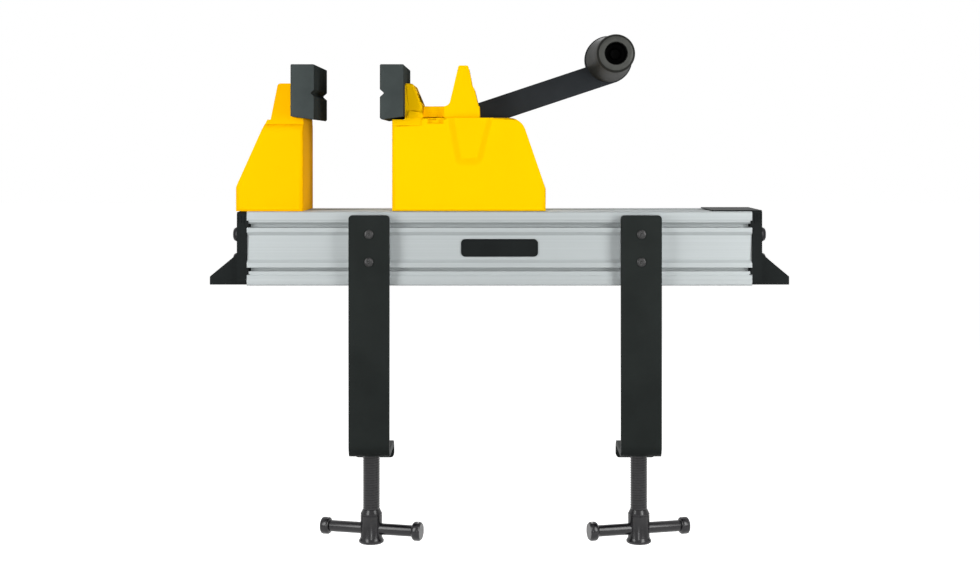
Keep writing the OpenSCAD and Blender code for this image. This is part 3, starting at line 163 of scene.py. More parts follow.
def turned(name, rings, at, towards=(0, 0, 1), sides=64, hollow=False):
    """Turns a round piece from a circle that is extruded and scaled from ring to ring.

    Each ring is a radius and a height along the axis. A hollow piece ends where it began.
    """
    bpy.ops.object.select_all(action="DESELECT")
    radius, height = rings[0]
    fill = "NOTHING" if hollow else "NGON"
    bpy.ops.mesh.primitive_circle_add(
        vertices=sides, radius=radius * MM, fill_type=fill, location=(0, 0, height * MM)
    )
    piece = bpy.context.object
    piece.name = name
    place(piece)
    ops = bpy.ops.mesh
    extrude = ops.extrude_edges_move if hollow else ops.extrude_region_move
    with editing(piece):
        ops.select_all(action="SELECT")
        for next_radius, next_height in rings[1:]:
            rise = (next_height - height) * MM
            extrude(TRANSFORM_OT_translate={"value": (0, 0, rise)})
            factor = next_radius / radius
            bpy.ops.transform.resize(
                value=(factor, factor, 1), center_override=(0, 0, next_height * MM)
            )
            radius, height = next_radius, next_height
        ops.select_all(action="SELECT")
        ops.remove_doubles(threshold=RING_MERGE * MM)
        ops.normals_make_consistent(inside=False)
    piece.rotation_euler = Vector(towards).to_track_quat("Z", "Y").to_euler()
    piece.location = Vector(at) * MM
    place(piece)
    return piece


def rounded(radius, height, r, steps=5, start=0, end=90):
    """Rings of a rounded edge about a centre ring, from one angle to another."""
    turns = [math.radians(start + (end - start) * i / steps) for i in range(steps + 1)]
    return [(radius + r * math.cos(a), height + r * math.sin(a)) for a in turns]


def combine(piece, other, operation):
    """Joins another piece to this one, or cuts its shape out, with a boolean that is applied."""
    use(piece)
    bpy.ops.object.modifier_add(type="BOOLEAN")
    modifier = piece.modifiers[-1]
    modifier.object = other
    modifier.operation = operation
    modifier.solver = "EXACT"
    bpy.ops.object.modifier_apply(modifier=modifier.name)
    bpy.data.objects.remove(other)


def cut(piece, *tools):
    """Cuts the shapes of the tools out of a piece."""
    for tool in tools:
        combine(piece, tool, "DIFFERENCE")


def copied(piece, name, offset=(0, 0, 0)):
    """Copies a piece with its own mesh, moved by an offset in millimetres."""
    use(piece)
    bpy.ops.object.duplicate(linked=False)
    twin = bpy.context.object
    twin.name = name
    twin.location = Vector(offset) * MM
    place(twin)
    return twin


def mirrored(piece, name):
    """Copies a piece to the far side of the rail."""
    twin = copied(piece, name)
    twin.scale = (1, -1, 1)
    place(twin)
    with editing(twin):
        bpy.ops.mesh.select_all(action="SELECT")
        bpy.ops.mesh.normals_make_consistent(inside=False)
    return twin


def joined(pieces, name):
    """Joins several pieces into one."""
    use(pieces[0])
    for piece in pieces[1:]:
        piece.select_set(True)
    bpy.ops.object.join()
    pieces[0].name = name
    return pieces[0]


def clean_copy(node, name):
    """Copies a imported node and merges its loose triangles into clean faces."""
    piece = bpy.data.objects.new(name, frame["nodes"][node].data.copy())
    piece.data.materials.clear()
    bpy.context.scene.collection.objects.link(piece)
    with editing(piece):
        bpy.ops.mesh.select_all(action="SELECT")
        bpy.ops.mesh.remove_doubles(threshold=NODE_MERGE * MM)
        bpy.ops.mesh.dissolve_limited(angle_limit=math.radians(0.8))
    return piece


def has_room(edge, width, angle):
    """Whether an edge is sharp, and long and far enough from its neighbours to be rounded."""
    if len(edge.link_faces) != 2 or edge.calc_length() < 3 * width:
        return False
    if edge.calc_face_angle(0) < angle:
        return False
    if min(face.calc_area() for face in edge.link_faces) < 2.5 * width * edge.calc_length():
        return False
    beside = [e for vert in edge.verts for e in vert.link_edges if e is not edge]
    return all(e.calc_length() > 1.3 * width for e in beside)


def break_edges(piece, width, segments=2, angle=32, left_out=lambda point: False):
    """Breaks the sharp edges that have room by a small radius and evens out the shading."""
    with editing(piece):
        bpy.ops.mesh.select_mode(type="EDGE")
        mesh = bmesh.from_edit_mesh(piece.data)
        for edge in mesh.edges:
            middle = (edge.verts[0].co + edge.verts[1].co) / 2 / MM
            room = has_room(edge, width * MM, math.radians(angle))
            edge.select_set(room and not left_out(middle))
        bmesh.update_edit_mesh(piece.data)
        bpy.ops.mesh.bevel(
            offset=width * MM, segments=segments, affect="EDGES",
            clamp_overlap=False, miter_outer="ARC",
        )
    smooth(piece)
    bpy.ops.object.modifier_add(type="WEIGHTED_NORMAL")
    weights = piece.modifiers[-1]
    weights.keep_sharp = True
    bpy.ops.object.modifier_apply(modifier=weights.name)
    return piece


def smooth(piece, angle=35):
    """Smooths the shading across edges that turn less than the angle."""
    use(piece)
    bpy.ops.object.shade_smooth_by_angle(angle=math.radians(angle))
    return piece


def dress(piece, finish, body, slot, *nodes):
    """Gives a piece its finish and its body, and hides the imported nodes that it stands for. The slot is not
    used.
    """
    piece.data.materials.clear()
    piece.data.materials.append(finish)
    for polygon in piece.data.polygons:
        polygon.material_index = 0
    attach(piece, body)
    if nodes:
        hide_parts(*nodes)
    return piece


# Finishes

def feed(node, **inputs):
    """Sets a node's inputs, or links them where a value is the output of another node."""
    for name, value in inputs.items():
        socket = node.inputs[name.replace("_", " ")]
        if isinstance(value, bpy.types.NodeSocket):
            node.id_data.links.new(value, socket)
        else:
            socket.default_value = value
    return node


def add_node(tree, kind, **inputs):
    """Adds a shader node of a kind, with its inputs."""
    return feed(tree.nodes.new(f"ShaderNode{kind}"), **inputs)


class Finish:
    """A material under construction, whose steps are written one after the other."""

    def __init__(self, name, colour, roughness, metallic=0.0, specular=0.5):
        self.material = bpy.data.materials.new(name)
        self.material.use_nodes = True
        self.tree = self.material.node_tree
        self.shader = self.tree.nodes["Principled BSDF"]
        feed(self.shader, Base_Color=(*colour, 1), Roughness=roughness)
        feed(self.shader, Metallic=metallic, Specular_IOR_Level=specular)
        self.colour = colour
        self.roughness = roughness
        self.relief = None
        self.coordinates = add_node(self.tree, "TexCoord").outputs["Object"]

    def noise(self, per_metre, stretch=(1, 1, 1), detail=3.0):
        """Noise with about so many features to the metre, stretched along the axes."""
        scale = [per_metre * s for s in stretch]
        mapping = add_node(self.tree, "Mapping", Vector=self.coordinates, Scale=scale)
        spot = mapping.outputs["Vector"]
        texture = add_node(self.tree, "TexNoise", Vector=spot, Scale=1.0, Detail=detail)
        return texture.outputs["Fac"]

    def tint(self, per_metre, darker, lighter=1.0, **pattern):
        """Varies the colour between a darker and a lighter shade of itself."""
        node = add_node(self.tree, "ValToRGB", Fac=self.noise(per_metre, **pattern))
        stops = node.color_ramp.elements
        for stop, position, factor in zip(stops, (0.3, 0.7), (darker, lighter)):
            stop.position = position
            stop.color = (*[min(1.0, c * factor) for c in self.colour], 1)
        feed(self.shader, Base_Color=node.outputs["Color"])
        return self

    def sheen(self, per_metre, spread, **pattern):
        """Varies the roughness about its middle value."""
        low, high = self.roughness - spread, self.roughness + spread
        noise = self.noise(per_metre, **pattern)
        node = add_node(self.tree, "MapRange", Value=noise, To_Min=low, To_Max=high)
        feed(self.shader, Roughness=node.outputs["Result"])
        return self

    def bump(self, per_metre, height_mm, strength, **pattern):
        """Raises the surface by a pattern, on top of any bump before it."""
        noise, height = self.noise(per_metre, **pattern), height_mm * MM
        node = add_node(self.tree, "Bump", Height=noise, Distance=height, Strength=strength)
        if self.relief is not None:
            feed(node, Normal=self.relief)
        self.relief = node.outputs["Normal"]
        feed(self.shader, Normal=self.relief)
        return self


def moulding(name, colour):
    """Yellow moulded body: faint flow marks and a fine spark-eroded grain."""
    return (
        Finish(name, colour, 0.6, specular=0.006)
        .tint(28, 0.975, detail=2).sheen(60, 0.05)
        .bump(1500, 0.012, 0.5, detail=2).bump(45, 0.06, 0.25, detail=1)
    )


DIE_LINES = {"stretch": (3, 1100, 1100), "detail": 4}
FINISHES = {
    # Clear anodised extrusion: die lines along the rail over a matt etched skin
    "anodised_rail": lambda: (
        Finish("anodised_aluminium", settings().rail_colour, 0.5, metallic=0.15, specular=0.1)
        .tint(1, 0.95, 1.03, **DIE_LINES).sheen(1, 0.08, stretch=(10, 500, 500))
        .bump(1, 0.01, 0.35, **DIE_LINES).bump(3500, 0.006, 0.4, detail=1)
    ),
    # Black moulded end caps: satin with a fine grain
    "black_plastic": lambda: (
        Finish("black_moulding", settings().cap_colour, 0.5, specular=0.04)
        .tint(40, 0.85, 1.15).sheen(90, 0.06).bump(1800, 0.015, 0.5, detail=2)
    ),
    # Black oxide of the small screws and rivets
    "black_screw": lambda: (
        Finish("black_oxide", settings().screw_colour, 0.36, specular=0.2)
        .tint(400, 0.8, 1.3).sheen(700, 0.06)
    ),
    "yellow_body": lambda: moulding("yellow_moulding", settings().body_colour),
    # The fixed jaw's moulding, the same yellow deepened towards orange: painted shade that darkens this jaw near
    # the lamps and turns its shaded faces orange
    "painted_shade_yellow_body": lambda: moulding("painted_shade_yellow_moulding", settings().fixed_jaw_colour_with_painted_shade),
    # Hard rubber of the jaw pads: dusty grey with a leathery micro grain
    "jaw_pad": lambda: (
        Finish("pad_rubber", settings().pad_colour, 0.7, specular=0.0)
        .tint(70, 0.88, 1.1, detail=4).sheen(200, 0.06).bump(1400, 0.03, 0.5, detail=3)
    ),
    # Gripping faces of the pads, darkened as painted shade for the gap between the jaws
    "pad_face_painted_shade": lambda: (
        Finish("pad_gripping_face_painted_shade", [0.7 * c for c in settings().pad_colour], 0.75, specular=0.0)
        .tint(90, 0.85, 1.15, detail=4).bump(2200, 0.03, 0.6, detail=2)
    ),
    # Rivet heads with the black rubbed off their domes
    "rivet": lambda: (
        Finish("rubbed_rivet", (0.02, 0.02, 0.02), 0.32, metallic=0.3, specular=0.4)
        .tint(900, 0.3, 1.8, detail=4).sheen(700, 0.1)
    ),
    # Bright zinc plate with its cloudy passivation
    "zinc_steel": lambda: (
        Finish("zinc_plate", (0.60, 0.61, 0.62), 0.32, metallic=0.9)
        .tint(220, 0.82, 1.08).sheen(500, 0.08)
    ),
    # Hardened, oiled steel with ground marks
    "hardened_steel": lambda: (
        Finish("hardened_steel", (0.40, 0.40, 0.41), 0.34, metallic=0.9)
        .tint(180, 0.75, 1.1).sheen(1, 0.08, stretch=(1800, 60, 1800))
    ),
    # Drawn spring wire
    "spring_steel": lambda: (
        Finish("spring_wire", (0.48, 0.48, 0.49), 0.28, metallic=0.95).tint(900, 0.8, 1.1)
    ),
    # Black nylon of the guide shoes
    "shoe_plastic": lambda: (
        Finish("shoe_nylon", (0.03, 0.03, 0.032), 0.5, specular=0.35)
        .tint(120, 0.85, 1.2).bump(1500, 0.015, 0.5)
    ),
    # Black powder coat with its orange-peel skin
    "black_steel": lambda: (
        Finish("black_powder_coat", settings().strap_colour, 0.5, specular=0.03)
        .tint(35, 0.88, 1.12).sheen(300, 0.07).bump(900, 0.03, 0.45, detail=2)
    ),
    # Satin moulded grip
    "grip_plastic": lambda: (
        Finish("grip_plastic", settings().grip_colour, 0.55, specular=0.05)
        .tint(60, 0.9, 1.08).sheen(150, 0.05).bump(1300, 0.02, 0.5, detail=2)
    ),
    # The grip's end face, painted lighter and a little glossier: a painted highlight where it faces the camera
    "grip_end_painted_highlight": lambda: (
        Finish("painted_highlight_grip_end", [2.6 * c for c in settings().grip_colour], 0.45, specular=0.2)
        .tint(200, 0.85, 1.1).bump(1300, 0.02, 0.5, detail=2)
    ),
    # Near-black painted shade down in the grip's recess
    "painted_recess_shade": lambda: (
        Finish("painted_recess_shade", (0.003, 0.003, 0.003), 0.6, specular=0.02).tint(300, 0.7, 1.2)
    ),
    # Dark lever paint, a little lighter than the straps, with a fine sand-cast skin
    "lever_paint": lambda: (
        Finish("lever_paint", settings().lever_colour, 0.5, specular=0.03)
        .tint(50, 0.9, 1.1).sheen(250, 0.06).bump(1100, 0.025, 0.5, detail=3)
    ),
    # Blackened, oiled steel of the clamp screws and bars: faint turning marks, worn sheen
    "turned_black": lambda: (
        Finish("blackened_steel", settings().screw_colour, 0.24, specular=0.4)
        .tint(120, 0.8, 1.25).sheen(400, 0.08)
        .bump(1, 0.008, 0.5, stretch=(150, 150, 2600), detail=2)
    ),
}
made_finishes = {}


def finish_for(name):
    """The finish of a name, made the first time it is asked for."""
    if name not in made_finishes:
        made_finishes[name] = FINISHES[name]().material
    return made_finishes[name]


# Screws

def cross_recess(width, depth, top):
    """Two crossed blades that cut a screwdriver recess below a height."""
    low, high = top - depth, top + 1
    first = block("blade", (-width / 2, -0.45, low), (width / 2, 0.45, high))
    second = block("blade", (-0.45, -width / 2, low), (0.45, width / 2, high))
    for blade in (first, second):
        with editing(blade):
            pick_faces(blade, lambda middle, normal: normal.z < -0.9)
            bpy.ops.transform.resize(value=(0.55, 0.55, 1), center_override=(0, 0, low * MM))
    return first, second


def pan_head_screw(name, shank, length, head, height):
    """A pan-head screw with a cross recess, seated at the origin and pointing down."""
    crown = height * 0.55
    rings = [
        (shank / 2 - 0.4, -length), (shank / 2, -length + 0.5), (shank / 2, 0), (head / 2 - 0.3, 0),
        (head / 2, 0.3), (head / 2, crown * 0.7), (head / 2 - 0.35, crown),
        (head / 2 * 0.82, height * 0.8), (head / 2 * 0.6, height * 0.94), (head / 2 * 0.3, height),
    ]
    screw = turned(name, rings, (0, 0, 0), sides=40)
    cut(screw, *cross_recess(head * 0.56, height * 0.6, height))
    return smooth(screw, 40)


def socket_head_screw(name, shank, length, head, height):
    """A cylinder-head screw with a hexagon socket, seated at the origin and pointing down."""
    rings = [
        (shank / 2 - 0.4, -length), (shank / 2, -length + 0.5), (shank / 2, 0), (head / 2 - 0.2, 0),
        (head / 2, 0.2), (head / 2, height - 0.6), (head / 2 - 0.5, height),
    ]
    screw = turned(name, rings, (0, 0, 0), sides=40)
    socket = head * 0.3
    hexagon = [(socket, height - 2.2), (socket, height + 1)]
    cut(screw, turned("hexagon", hexagon, (0, 0, 0), sides=6))
    return smooth(screw, 40)


def set_screws(screw, name, places, towards):
    """Puts a copy of a screw at each place, pointing its head towards a direction, as one piece."""
    turn = Vector(towards).to_track_quat("Z", "Y").to_euler()
    copies = []
    for spot in places:
        twin = copied(screw, "screw")
        twin.rotation_euler = turn
        twin.location = Vector(spot) * MM
        place(twin)
        copies.append(twin)
    bpy.data.objects.remove(screw)
    return joined(copies, name)


def solid_middles(node):
    """Middles, in millimetres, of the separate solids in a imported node."""
    mesh = bmesh.new()
    mesh.from_mesh(frame["nodes"][node].data)
    bmesh.ops.remove_doubles(mesh, verts=mesh.verts, dist=NODE_MERGE * MM)
    mesh.verts.ensure_lookup_table()
    left = set(mesh.verts)
    middles = []
    while left:
        group, edge = set(), [left.pop()]
        while edge:
            vert = edge.pop()
            group.add(vert)
            near = {e.other_vert(vert) for e in vert.link_edges} & left
            left -= near
            edge.extend(near)
        low = Vector(min(v.co[i] for v in group) for i in range(3))
        high = Vector(max(v.co[i] for v in group) for i in range(3))
        middles.append((low + high) / 2 / MM)
    mesh.free()
    return middles


def screw_seats(node, axis, way, height):
    """Places under the heads of a node's screws, which point along an axis one way or the other."""
    low, high = box_mm(node)
    seats = solid_middles(node)
    for seat in seats:
        seat[axis] = (high if way > 0 else low)[axis] - way * height
    return seats


# Settings

def colour_setting(name, description, default):
    """A colour that the sidebar shows."""
    return bpy.props.FloatVectorProperty(
        name=name, description=description, subtype="COLOR", size=3, min=0, max=1, default=default
    )


def length_setting(name, description, low, high, default):
    """A length that the sidebar shows, with its range."""
    return bpy.props.FloatProperty(
        name=name, description=description, unit="LENGTH", min=low, max=high, default=default
    )


class BenchViseSettings(bpy.types.PropertyGroup):
    """Sizes and colours that a user would change."""

    body_colour: colour_setting(
        "Moving jaw", "Colour of the moving jaw's mouldings", (1.0, 0.585, 0.0)
    )
    # The fixed jaw's yellow is deepened towards orange as painted shade
    fixed_jaw_colour_with_painted_shade: colour_setting(
        "Fixed jaw", "Colour of the fixed jaw's moulding", (1.0, 0.50, 0.0)
    )
    rail_colour: colour_setting("Rail", "Colour of the anodised rail", (0.405, 0.436, 0.440))
    cap_colour: colour_setting("End caps", "Colour of the end caps", (0.010, 0.012, 0.012))
    strap_colour: colour_setting(
        "Straps", "Colour of the powder-coated straps", (0.017, 0.020, 0.019)
    )
    lever_colour: colour_setting("Lever", "Colour of the painted lever", (0.024, 0.027, 0.030))
    screw_colour: colour_setting(
        "Clamp screws", "Colour of the blackened screws and bars", (0.006, 0.0055, 0.007)
    )
    pad_colour: colour_setting("Pads", "Colour of the jaw pads", (0.052, 0.062, 0.061))
    grip_colour: colour_setting("Grip", "Colour of the hand grip", (0.019, 0.0195, 0.0175))
    edge_radius: length_setting(
        "Edge radius", "Radius of the broken edges of the mouldings", 0.0001, 0.001, 0.0004
    )
    thread_pitch: length_setting(
        "Thread pitch", "Rise of the clamp screws' thread in one turn", 0.001, 0.003, 0.00175
    )
    thread_depth: length_setting(
        "Thread depth", "Depth of the clamp screws' thread", 0.0002, 0.001, 0.00025
    )
    rib_height: length_setting(
        "Rib height", "How far the soft ribs stand out from the jaw's sides", 0.001, 0.0032, 0.0029
    )
    plate_length: length_setting(
        "Plate length", "Length of the blank plate on the rail", 0.02, 0.08, 0.054
    )
    floor_colour: colour_setting("Floor", "Colour of the studio floor", (0.9, 0.9, 0.9))
    floor_gap: length_setting(
        "Floor gap", "Room over the floor for the clamp screws' travel", 0, 0.1, 0.034
    )
    lamp_power: bpy.props.FloatProperty(
        name="Lamps", description="Power that the studio lamps take their shares of",
        unit="POWER", min=0, max=100, default=2.85,
    )


# Rail

class RailOperator(bpy.types.Operator):
    """Rail with its die-drawn edges broken, and the blank plate on its front"""

    bl_idname = "bench_vise.rail"
    bl_label = "Rail"

    def execute(self, context):
        rail = clean_copy("rail", "rail_extrusion")
        cut(rail, *self.die_marks())
        break_edges(rail, 0.2, segments=1)
        dress(rail, finish_for("anodised_rail"), "rail_assembly", "anodised_rail", "rail")
        self.blank_plate()
        return {"FINISHED"}

    def die_marks(self):
        """Tools for the slope into the upper groove and for the fine line on the lower ridge."""
        low, high = box_mm("rail")
        length = high.x + 1
        slope_low, slope_high, slope_depth, slope_lean = 43.1, 45.4, 1.9, 2.2
        slope = block(
            "slope", (-length, low.y - 3, slope_low), (length, low.y + slope_depth, slope_high)
        )
        with editing(slope):
            pick_faces(slope, lambda middle, normal: normal.z > 0.9)
            bpy.ops.transform.translate(value=(0, -slope_lean * MM, 0))
        line_low, line_high, line_depth = 17.45, 17.95, 0.5
        line = block(
            "line", (-length, low.y - 1, line_low), (length, low.y + line_depth, line_high)
        )
        near = [slope, line]
        return near + [mirrored(tool, "far_tool") for tool in near]

    def blank_plate(self):
        """A bare plate with a raised rim in the recessed field of the rail's front."""
        low, high = box_mm("rail")
        half, half_height = settings().plate_length / MM / 2, 6.2
        face = low.y + 2.0
        middle = (low.z + high.z) / 2 + 0.4
        plate = block(
            "blank_plate",
            (-half, face - 0.8, middle - half_height), (half, face + 0.2, middle + half_height),
        )
        round_edges(plate, 3.0, 6, lambda middle, way: abs(way.y) > 0.9)
        with editing(plate):
            pick_faces(plate, lambda middle, normal: normal.y < -0.9)
            bpy.ops.mesh.inset(thickness=0.8 * MM)
            bpy.ops.mesh.extrude_region_move(TRANSFORM_OT_translate={"value": (0, 0.35 * MM, 0)})
        break_edges(plate, 0.12)
        dress(plate, finish_for("black_plastic"), "rail_assembly", "black_plastic")


# End caps

class EndCapsOperator(bpy.types.Operator):
    """Moulded end caps with finger flutes, and their pan-head screws"""

    bl_idname = "bench_vise.end_caps"
    bl_label = "End Caps"

    def execute(self, context):
        for side in SIDES:
            cap = clean_copy(f"{side}_end_cap", f"{side}_cap_moulding")
            cut(cap, *self.flutes(side), *self.key_ends(side))
            break_edges(cap, settings().edge_radius / MM)
            finish = finish_for("black_plastic")
            dress(cap, finish, "rail_assembly", "black_plastic", f"{side}_end_cap")
            self.cap_screws(side)
        return {"FINISHED"}

    def flutes(self, side):
        """Tools for three upright flutes near the top of both edges of the cap."""
        low, high = box_mm("rail")
        half, depth, foot = 0.45, 0.95, 44
        tools = []
        for edge, way in ((low.y, -1), (high.y, 1)):
            inner, outer = sorted((edge - way * depth, edge + way * 1.05))
            for out in (1.6, 3.5, 5.4):
                x = SIDES[side] * (high.x + out)
                tools.append(
                    block("flute", (x - half, inner, foot), (x + half, outer, high.z - 1.2))
                )
        return tools

    def key_ends(self, side):
        """Tools that shorten the keys that show at the ends of the rail's side grooves."""
        low, high = box_mm("rail")
        inner, outer = sorted(SIDES[side] * (high.x - reach) for reach in (9, 1.2))
        near = block("key_end", (inner, low.y - 1, 8), (outer, low.y + 4, high.z - 3))
        return [near, mirrored(near, "far_key_end")]

    def cap_screws(self, side):
        """Four pan-head screws that hold a cap on the rail."""
        node, way, head_height = f"{side}_cap_screws", SIDES[side], 4.3
        screw = pan_head_screw("screw", 4.2, 20, 10.4, head_height)
        seats = screw_seats(node, 0, way, head_height)
        screws = set_screws(screw, f"{side}_cap_pan_screws", seats, (way, 0, 0))
        dress(screws, finish_for("black_screw"), "rail_assembly", "black_screw", node)


# Jaws

HORN_HALF_WIDTH = 27
HORN_LENGTH = 12.6


class FixedJawOperator(bpy.types.Operator):
    """Fixed jaw body"""

    bl_idname = "bench_vise.fixed_jaw"
    bl_label = "Fixed Jaw"

    def execute(self, context):
        jaw = clean_copy("fixed_jaw", "fixed_jaw_moulding")
        combine(jaw, self.pad_seat(), "UNION")
        break_edges(jaw, settings().edge_radius / MM)
        # The fixed jaw takes the deepened yellow, painted shade for how the lamps fall on it
        dress(jaw, finish_for("painted_shade_yellow_body"), "rail_assembly", "yellow_body", "fixed_jaw")
        return {"FINISHED"}

    def pad_seat(self):
        """A wedge on the jaw that follows the sloping underside of its pad."""
        low = box_mm("fixed_jaw_pad")[0]
        front = box_mm("fixed_jaw")[1].x
        half, rise, fall, inset = 26.9, 1.95, 0.95, 0.05
        seat = block(
            "pad_seat", (low.x + inset, -half, low.z - 1), (front - inset, half, low.z + rise)
        )
        with editing(seat):
            pick_edges(seat, lambda middle, way: (
                middle.x > front - 1 and middle.z > low.z + rise - 0.05
            ))
            bpy.ops.transform.translate(value=(0, 0, -fall * MM))
        return seat


class MovingJawOperator(bpy.types.Operator):
    """Moving jaw housing and the cover with its pointed cheeks"""

    bl_idname = "bench_vise.moving_jaw"
    bl_label = "Moving Jaw"

    def execute(self, context):
        body = "moving_jaw_assembly"
        side = box_mm("fixed_jaw")[0].y
        deck = box_mm("mechanism_cover")[0].z
        pivot = middle_mm("pivot_pin").x
        jaw = clean_copy("moving_jaw", "moving_jaw_housing")
        self.cut_ribs(jaw, side, deck, pivot)
        self.gap_marks(jaw, pivot, deck)
        self.soft_horn(jaw, side, deck)
        horn_x = box_mm("moving_jaw_pad")[1].x

        def soft(point):
            """Whether a place lies on the horn, or where the rib meets the deck."""
            on_horn = horn_x < point.x < horn_x + HORN_LENGTH
            on_rib = abs(point.x - pivot) < 24 and abs(point.y) > 30.5
            return point.z > deck - 3 and (on_horn or on_rib)

        break_edges(jaw, settings().edge_radius / MM, left_out=soft)
        rib = smooth(self.soft_rib(side, deck, pivot))
        jaw = joined([jaw, rib, smooth(mirrored(rib, "far_rib"))], "moving_jaw_housing")
        dress(jaw, finish_for("yellow_body"), body, "yellow_body", "moving_jaw")
        cover = clean_copy("mechanism_cover", "pointed_cover")
        self.saddle_sides(cover, pivot, deck)
        break_edges(cover, settings().edge_radius / MM)
        dress(cover, finish_for("yellow_body"), body, "yellow_body", "mechanism_cover")
        return {"FINISHED"}

    def cut_ribs(self, jaw, side, deck, pivot):
        """Cuts the straight ribs off, to make room for ribs with soft flanks."""
        half, foot = 26, deck - 38
        for inner, outer in ((side - 5, side), (-side, 5 - side)):
            cut(jaw, block("old_rib", (pivot - half, inner, foot), (pivot + half, outer, deck + 1)))

    def soft_rib(self, side, deck, pivot):
        """A tapering outline, raised by insets whose depth grows and fades, cut off at the deck."""
        foot, top, rings = deck - 34.5, deck + 10, 12
        flank, lean, taper_x = 5.4, 0.65, pivot - 1.8
        rib = block("rib", (pivot - 16.55, side - 0.02, foot), (pivot + 20.15, side + 0.5, top))
        with editing(rib):
            pick_faces(rib, lambda middle, normal: normal.z < -0.9)
            bpy.ops.transform.resize(value=(0.5, 1, 1), center_override=(taper_x * MM, 0, 0))
        round_edges(rib, 5.6, 6, lambda middle, way: abs(way.y) > 0.9 and middle.z < foot + 1)
        eased = [(i / rings) ** 2 * (3 - 2 * i / rings) for i in range(rings + 1)]
        with editing(rib):
            pick_faces(rib, lambda middle, normal: normal.y < -0.9)
            for before, after in zip(eased, eased[1:]):
                rise = (after - before) * settings().rib_height
                bpy.ops.mesh.inset(thickness=flank * MM / rings, depth=rise)
                bpy.ops.transform.translate(value=(lean * MM / rings, 0, 0))
                bpy.ops.transform.resize(value=(1, 1, 0.995), center_override=(0, 0, deck * MM))
        cut(rib, block("above", (pivot - 40, side - 9, deck), (pivot + 40, side + 9, top + 10)))
        return rib

    def saddle_sides(self, cover, pivot, deck):
        """Wings that widen the cover's saddle back to the horn."""
        front, outer, foot, top = pivot - 16, 21, deck + 0.6, deck + 8.3
        for back, inner in ((pivot - 31.9, 15.1), (pivot - 22.4, 18.8)):
            wing = block("wing", (back, -outer, foot), (front, -inner, top))
            far = mirrored(wing, "far_wing")
            combine(cover, wing, "UNION")
            combine(cover, far, "UNION")

    def gap_marks(self, jaw, pivot, deck):
        """A short gap at deck height between the horn's foot and the cover."""
        back, front, foot = pivot - 28.6, pivot - 22.3, deck - 1.4
        for near, far in ((-35, -26), (26, 35)):
            cut(jaw, block("gap", (back, near, foot), (front, far, deck + 0.5)))

    def soft_horn(self, jaw, side, deck):
        """Rounds the rims of the horn and the step in the jaw's sides under the pad."""
        horn_x = box_mm("moving_jaw_pad")[1].x
        step = box_mm("moving_jaw_pad")[0].z - 5

        def beside(middle, half):
            """Whether a place lies in one of the side faces at a half width."""
            return abs(abs(middle.y) - half) < 0.1

        round_edges(jaw, 1.5, 4, lambda middle, way: (
            beside(middle, HORN_HALF_WIDTH) and middle.x > horn_x + 1.2 and middle.z > deck + 4.2
        ))
        with editing(jaw):
            pick_faces(jaw, lambda middle, normal: (
                abs(normal.y) > 0.99 and beside(middle, HORN_HALF_WIDTH) and middle.z > deck
            ))
            bpy.ops.mesh.inset(thickness=0.4 * MM)
        round_edges(jaw, 1.1, 4, lambda middle, way: (
            abs(way.x) > 0.9 and beside(middle, abs(side)) and step < middle.z < step + 2
        ))


class PadsOperator(bpy.types.Operator):
    """Jaw pads and the screws that hold them"""

    bl_idname = "bench_vise.pads"
    bl_label = "Jaw Pads"

    def execute(self, context):
        for jaw, body, way in (
            ("fixed", "rail_assembly", -1),
            ("moving", "moving_jaw_assembly", 1),
        ):
            pad = break_edges(clean_copy(f"{jaw}_jaw_pad", f"{jaw}_pad_moulding"), 0.7, segments=3)
            dress(pad, finish_for("jaw_pad"), body, "jaw_pad", f"{jaw}_jaw_pad")
            # The gripping faces, which face the other jaw, take the darker finish: painted shade of the gap
            # between the jaws
            pad.data.materials.append(finish_for("pad_face_painted_shade"))
            for polygon in pad.data.polygons:
                if polygon.normal.x * way < -0.5:
                    polygon.material_index = 1
            node = f"{jaw}_pad_screws"
            screw = socket_head_screw("screw", 5.8, 14.5, 9.4, 2.4)
            seats = screw_seats(node, 0, way, 4.0)
            screws = set_screws(screw, f"{jaw}_pad_socket_screws", seats, (way, 0, 0))
            dress(screws, finish_for("zinc_steel"), body, "zinc_steel", node)
        return {"FINISHED"}


# Lever and grip

class LeverOperator(bpy.types.Operator):
    """Lever with its broad bevels"""

    bl_idname = "bench_vise.lever"
    bl_label = "Lever"

    def execute(self, context):
        lever = break_edges(clean_copy("lever_arm", "cam_lever"), width=0.9)
        dress(lever, finish_for("lever_paint"), "lever", "black_steel", "lever_arm")
        return {"FINISHED"}


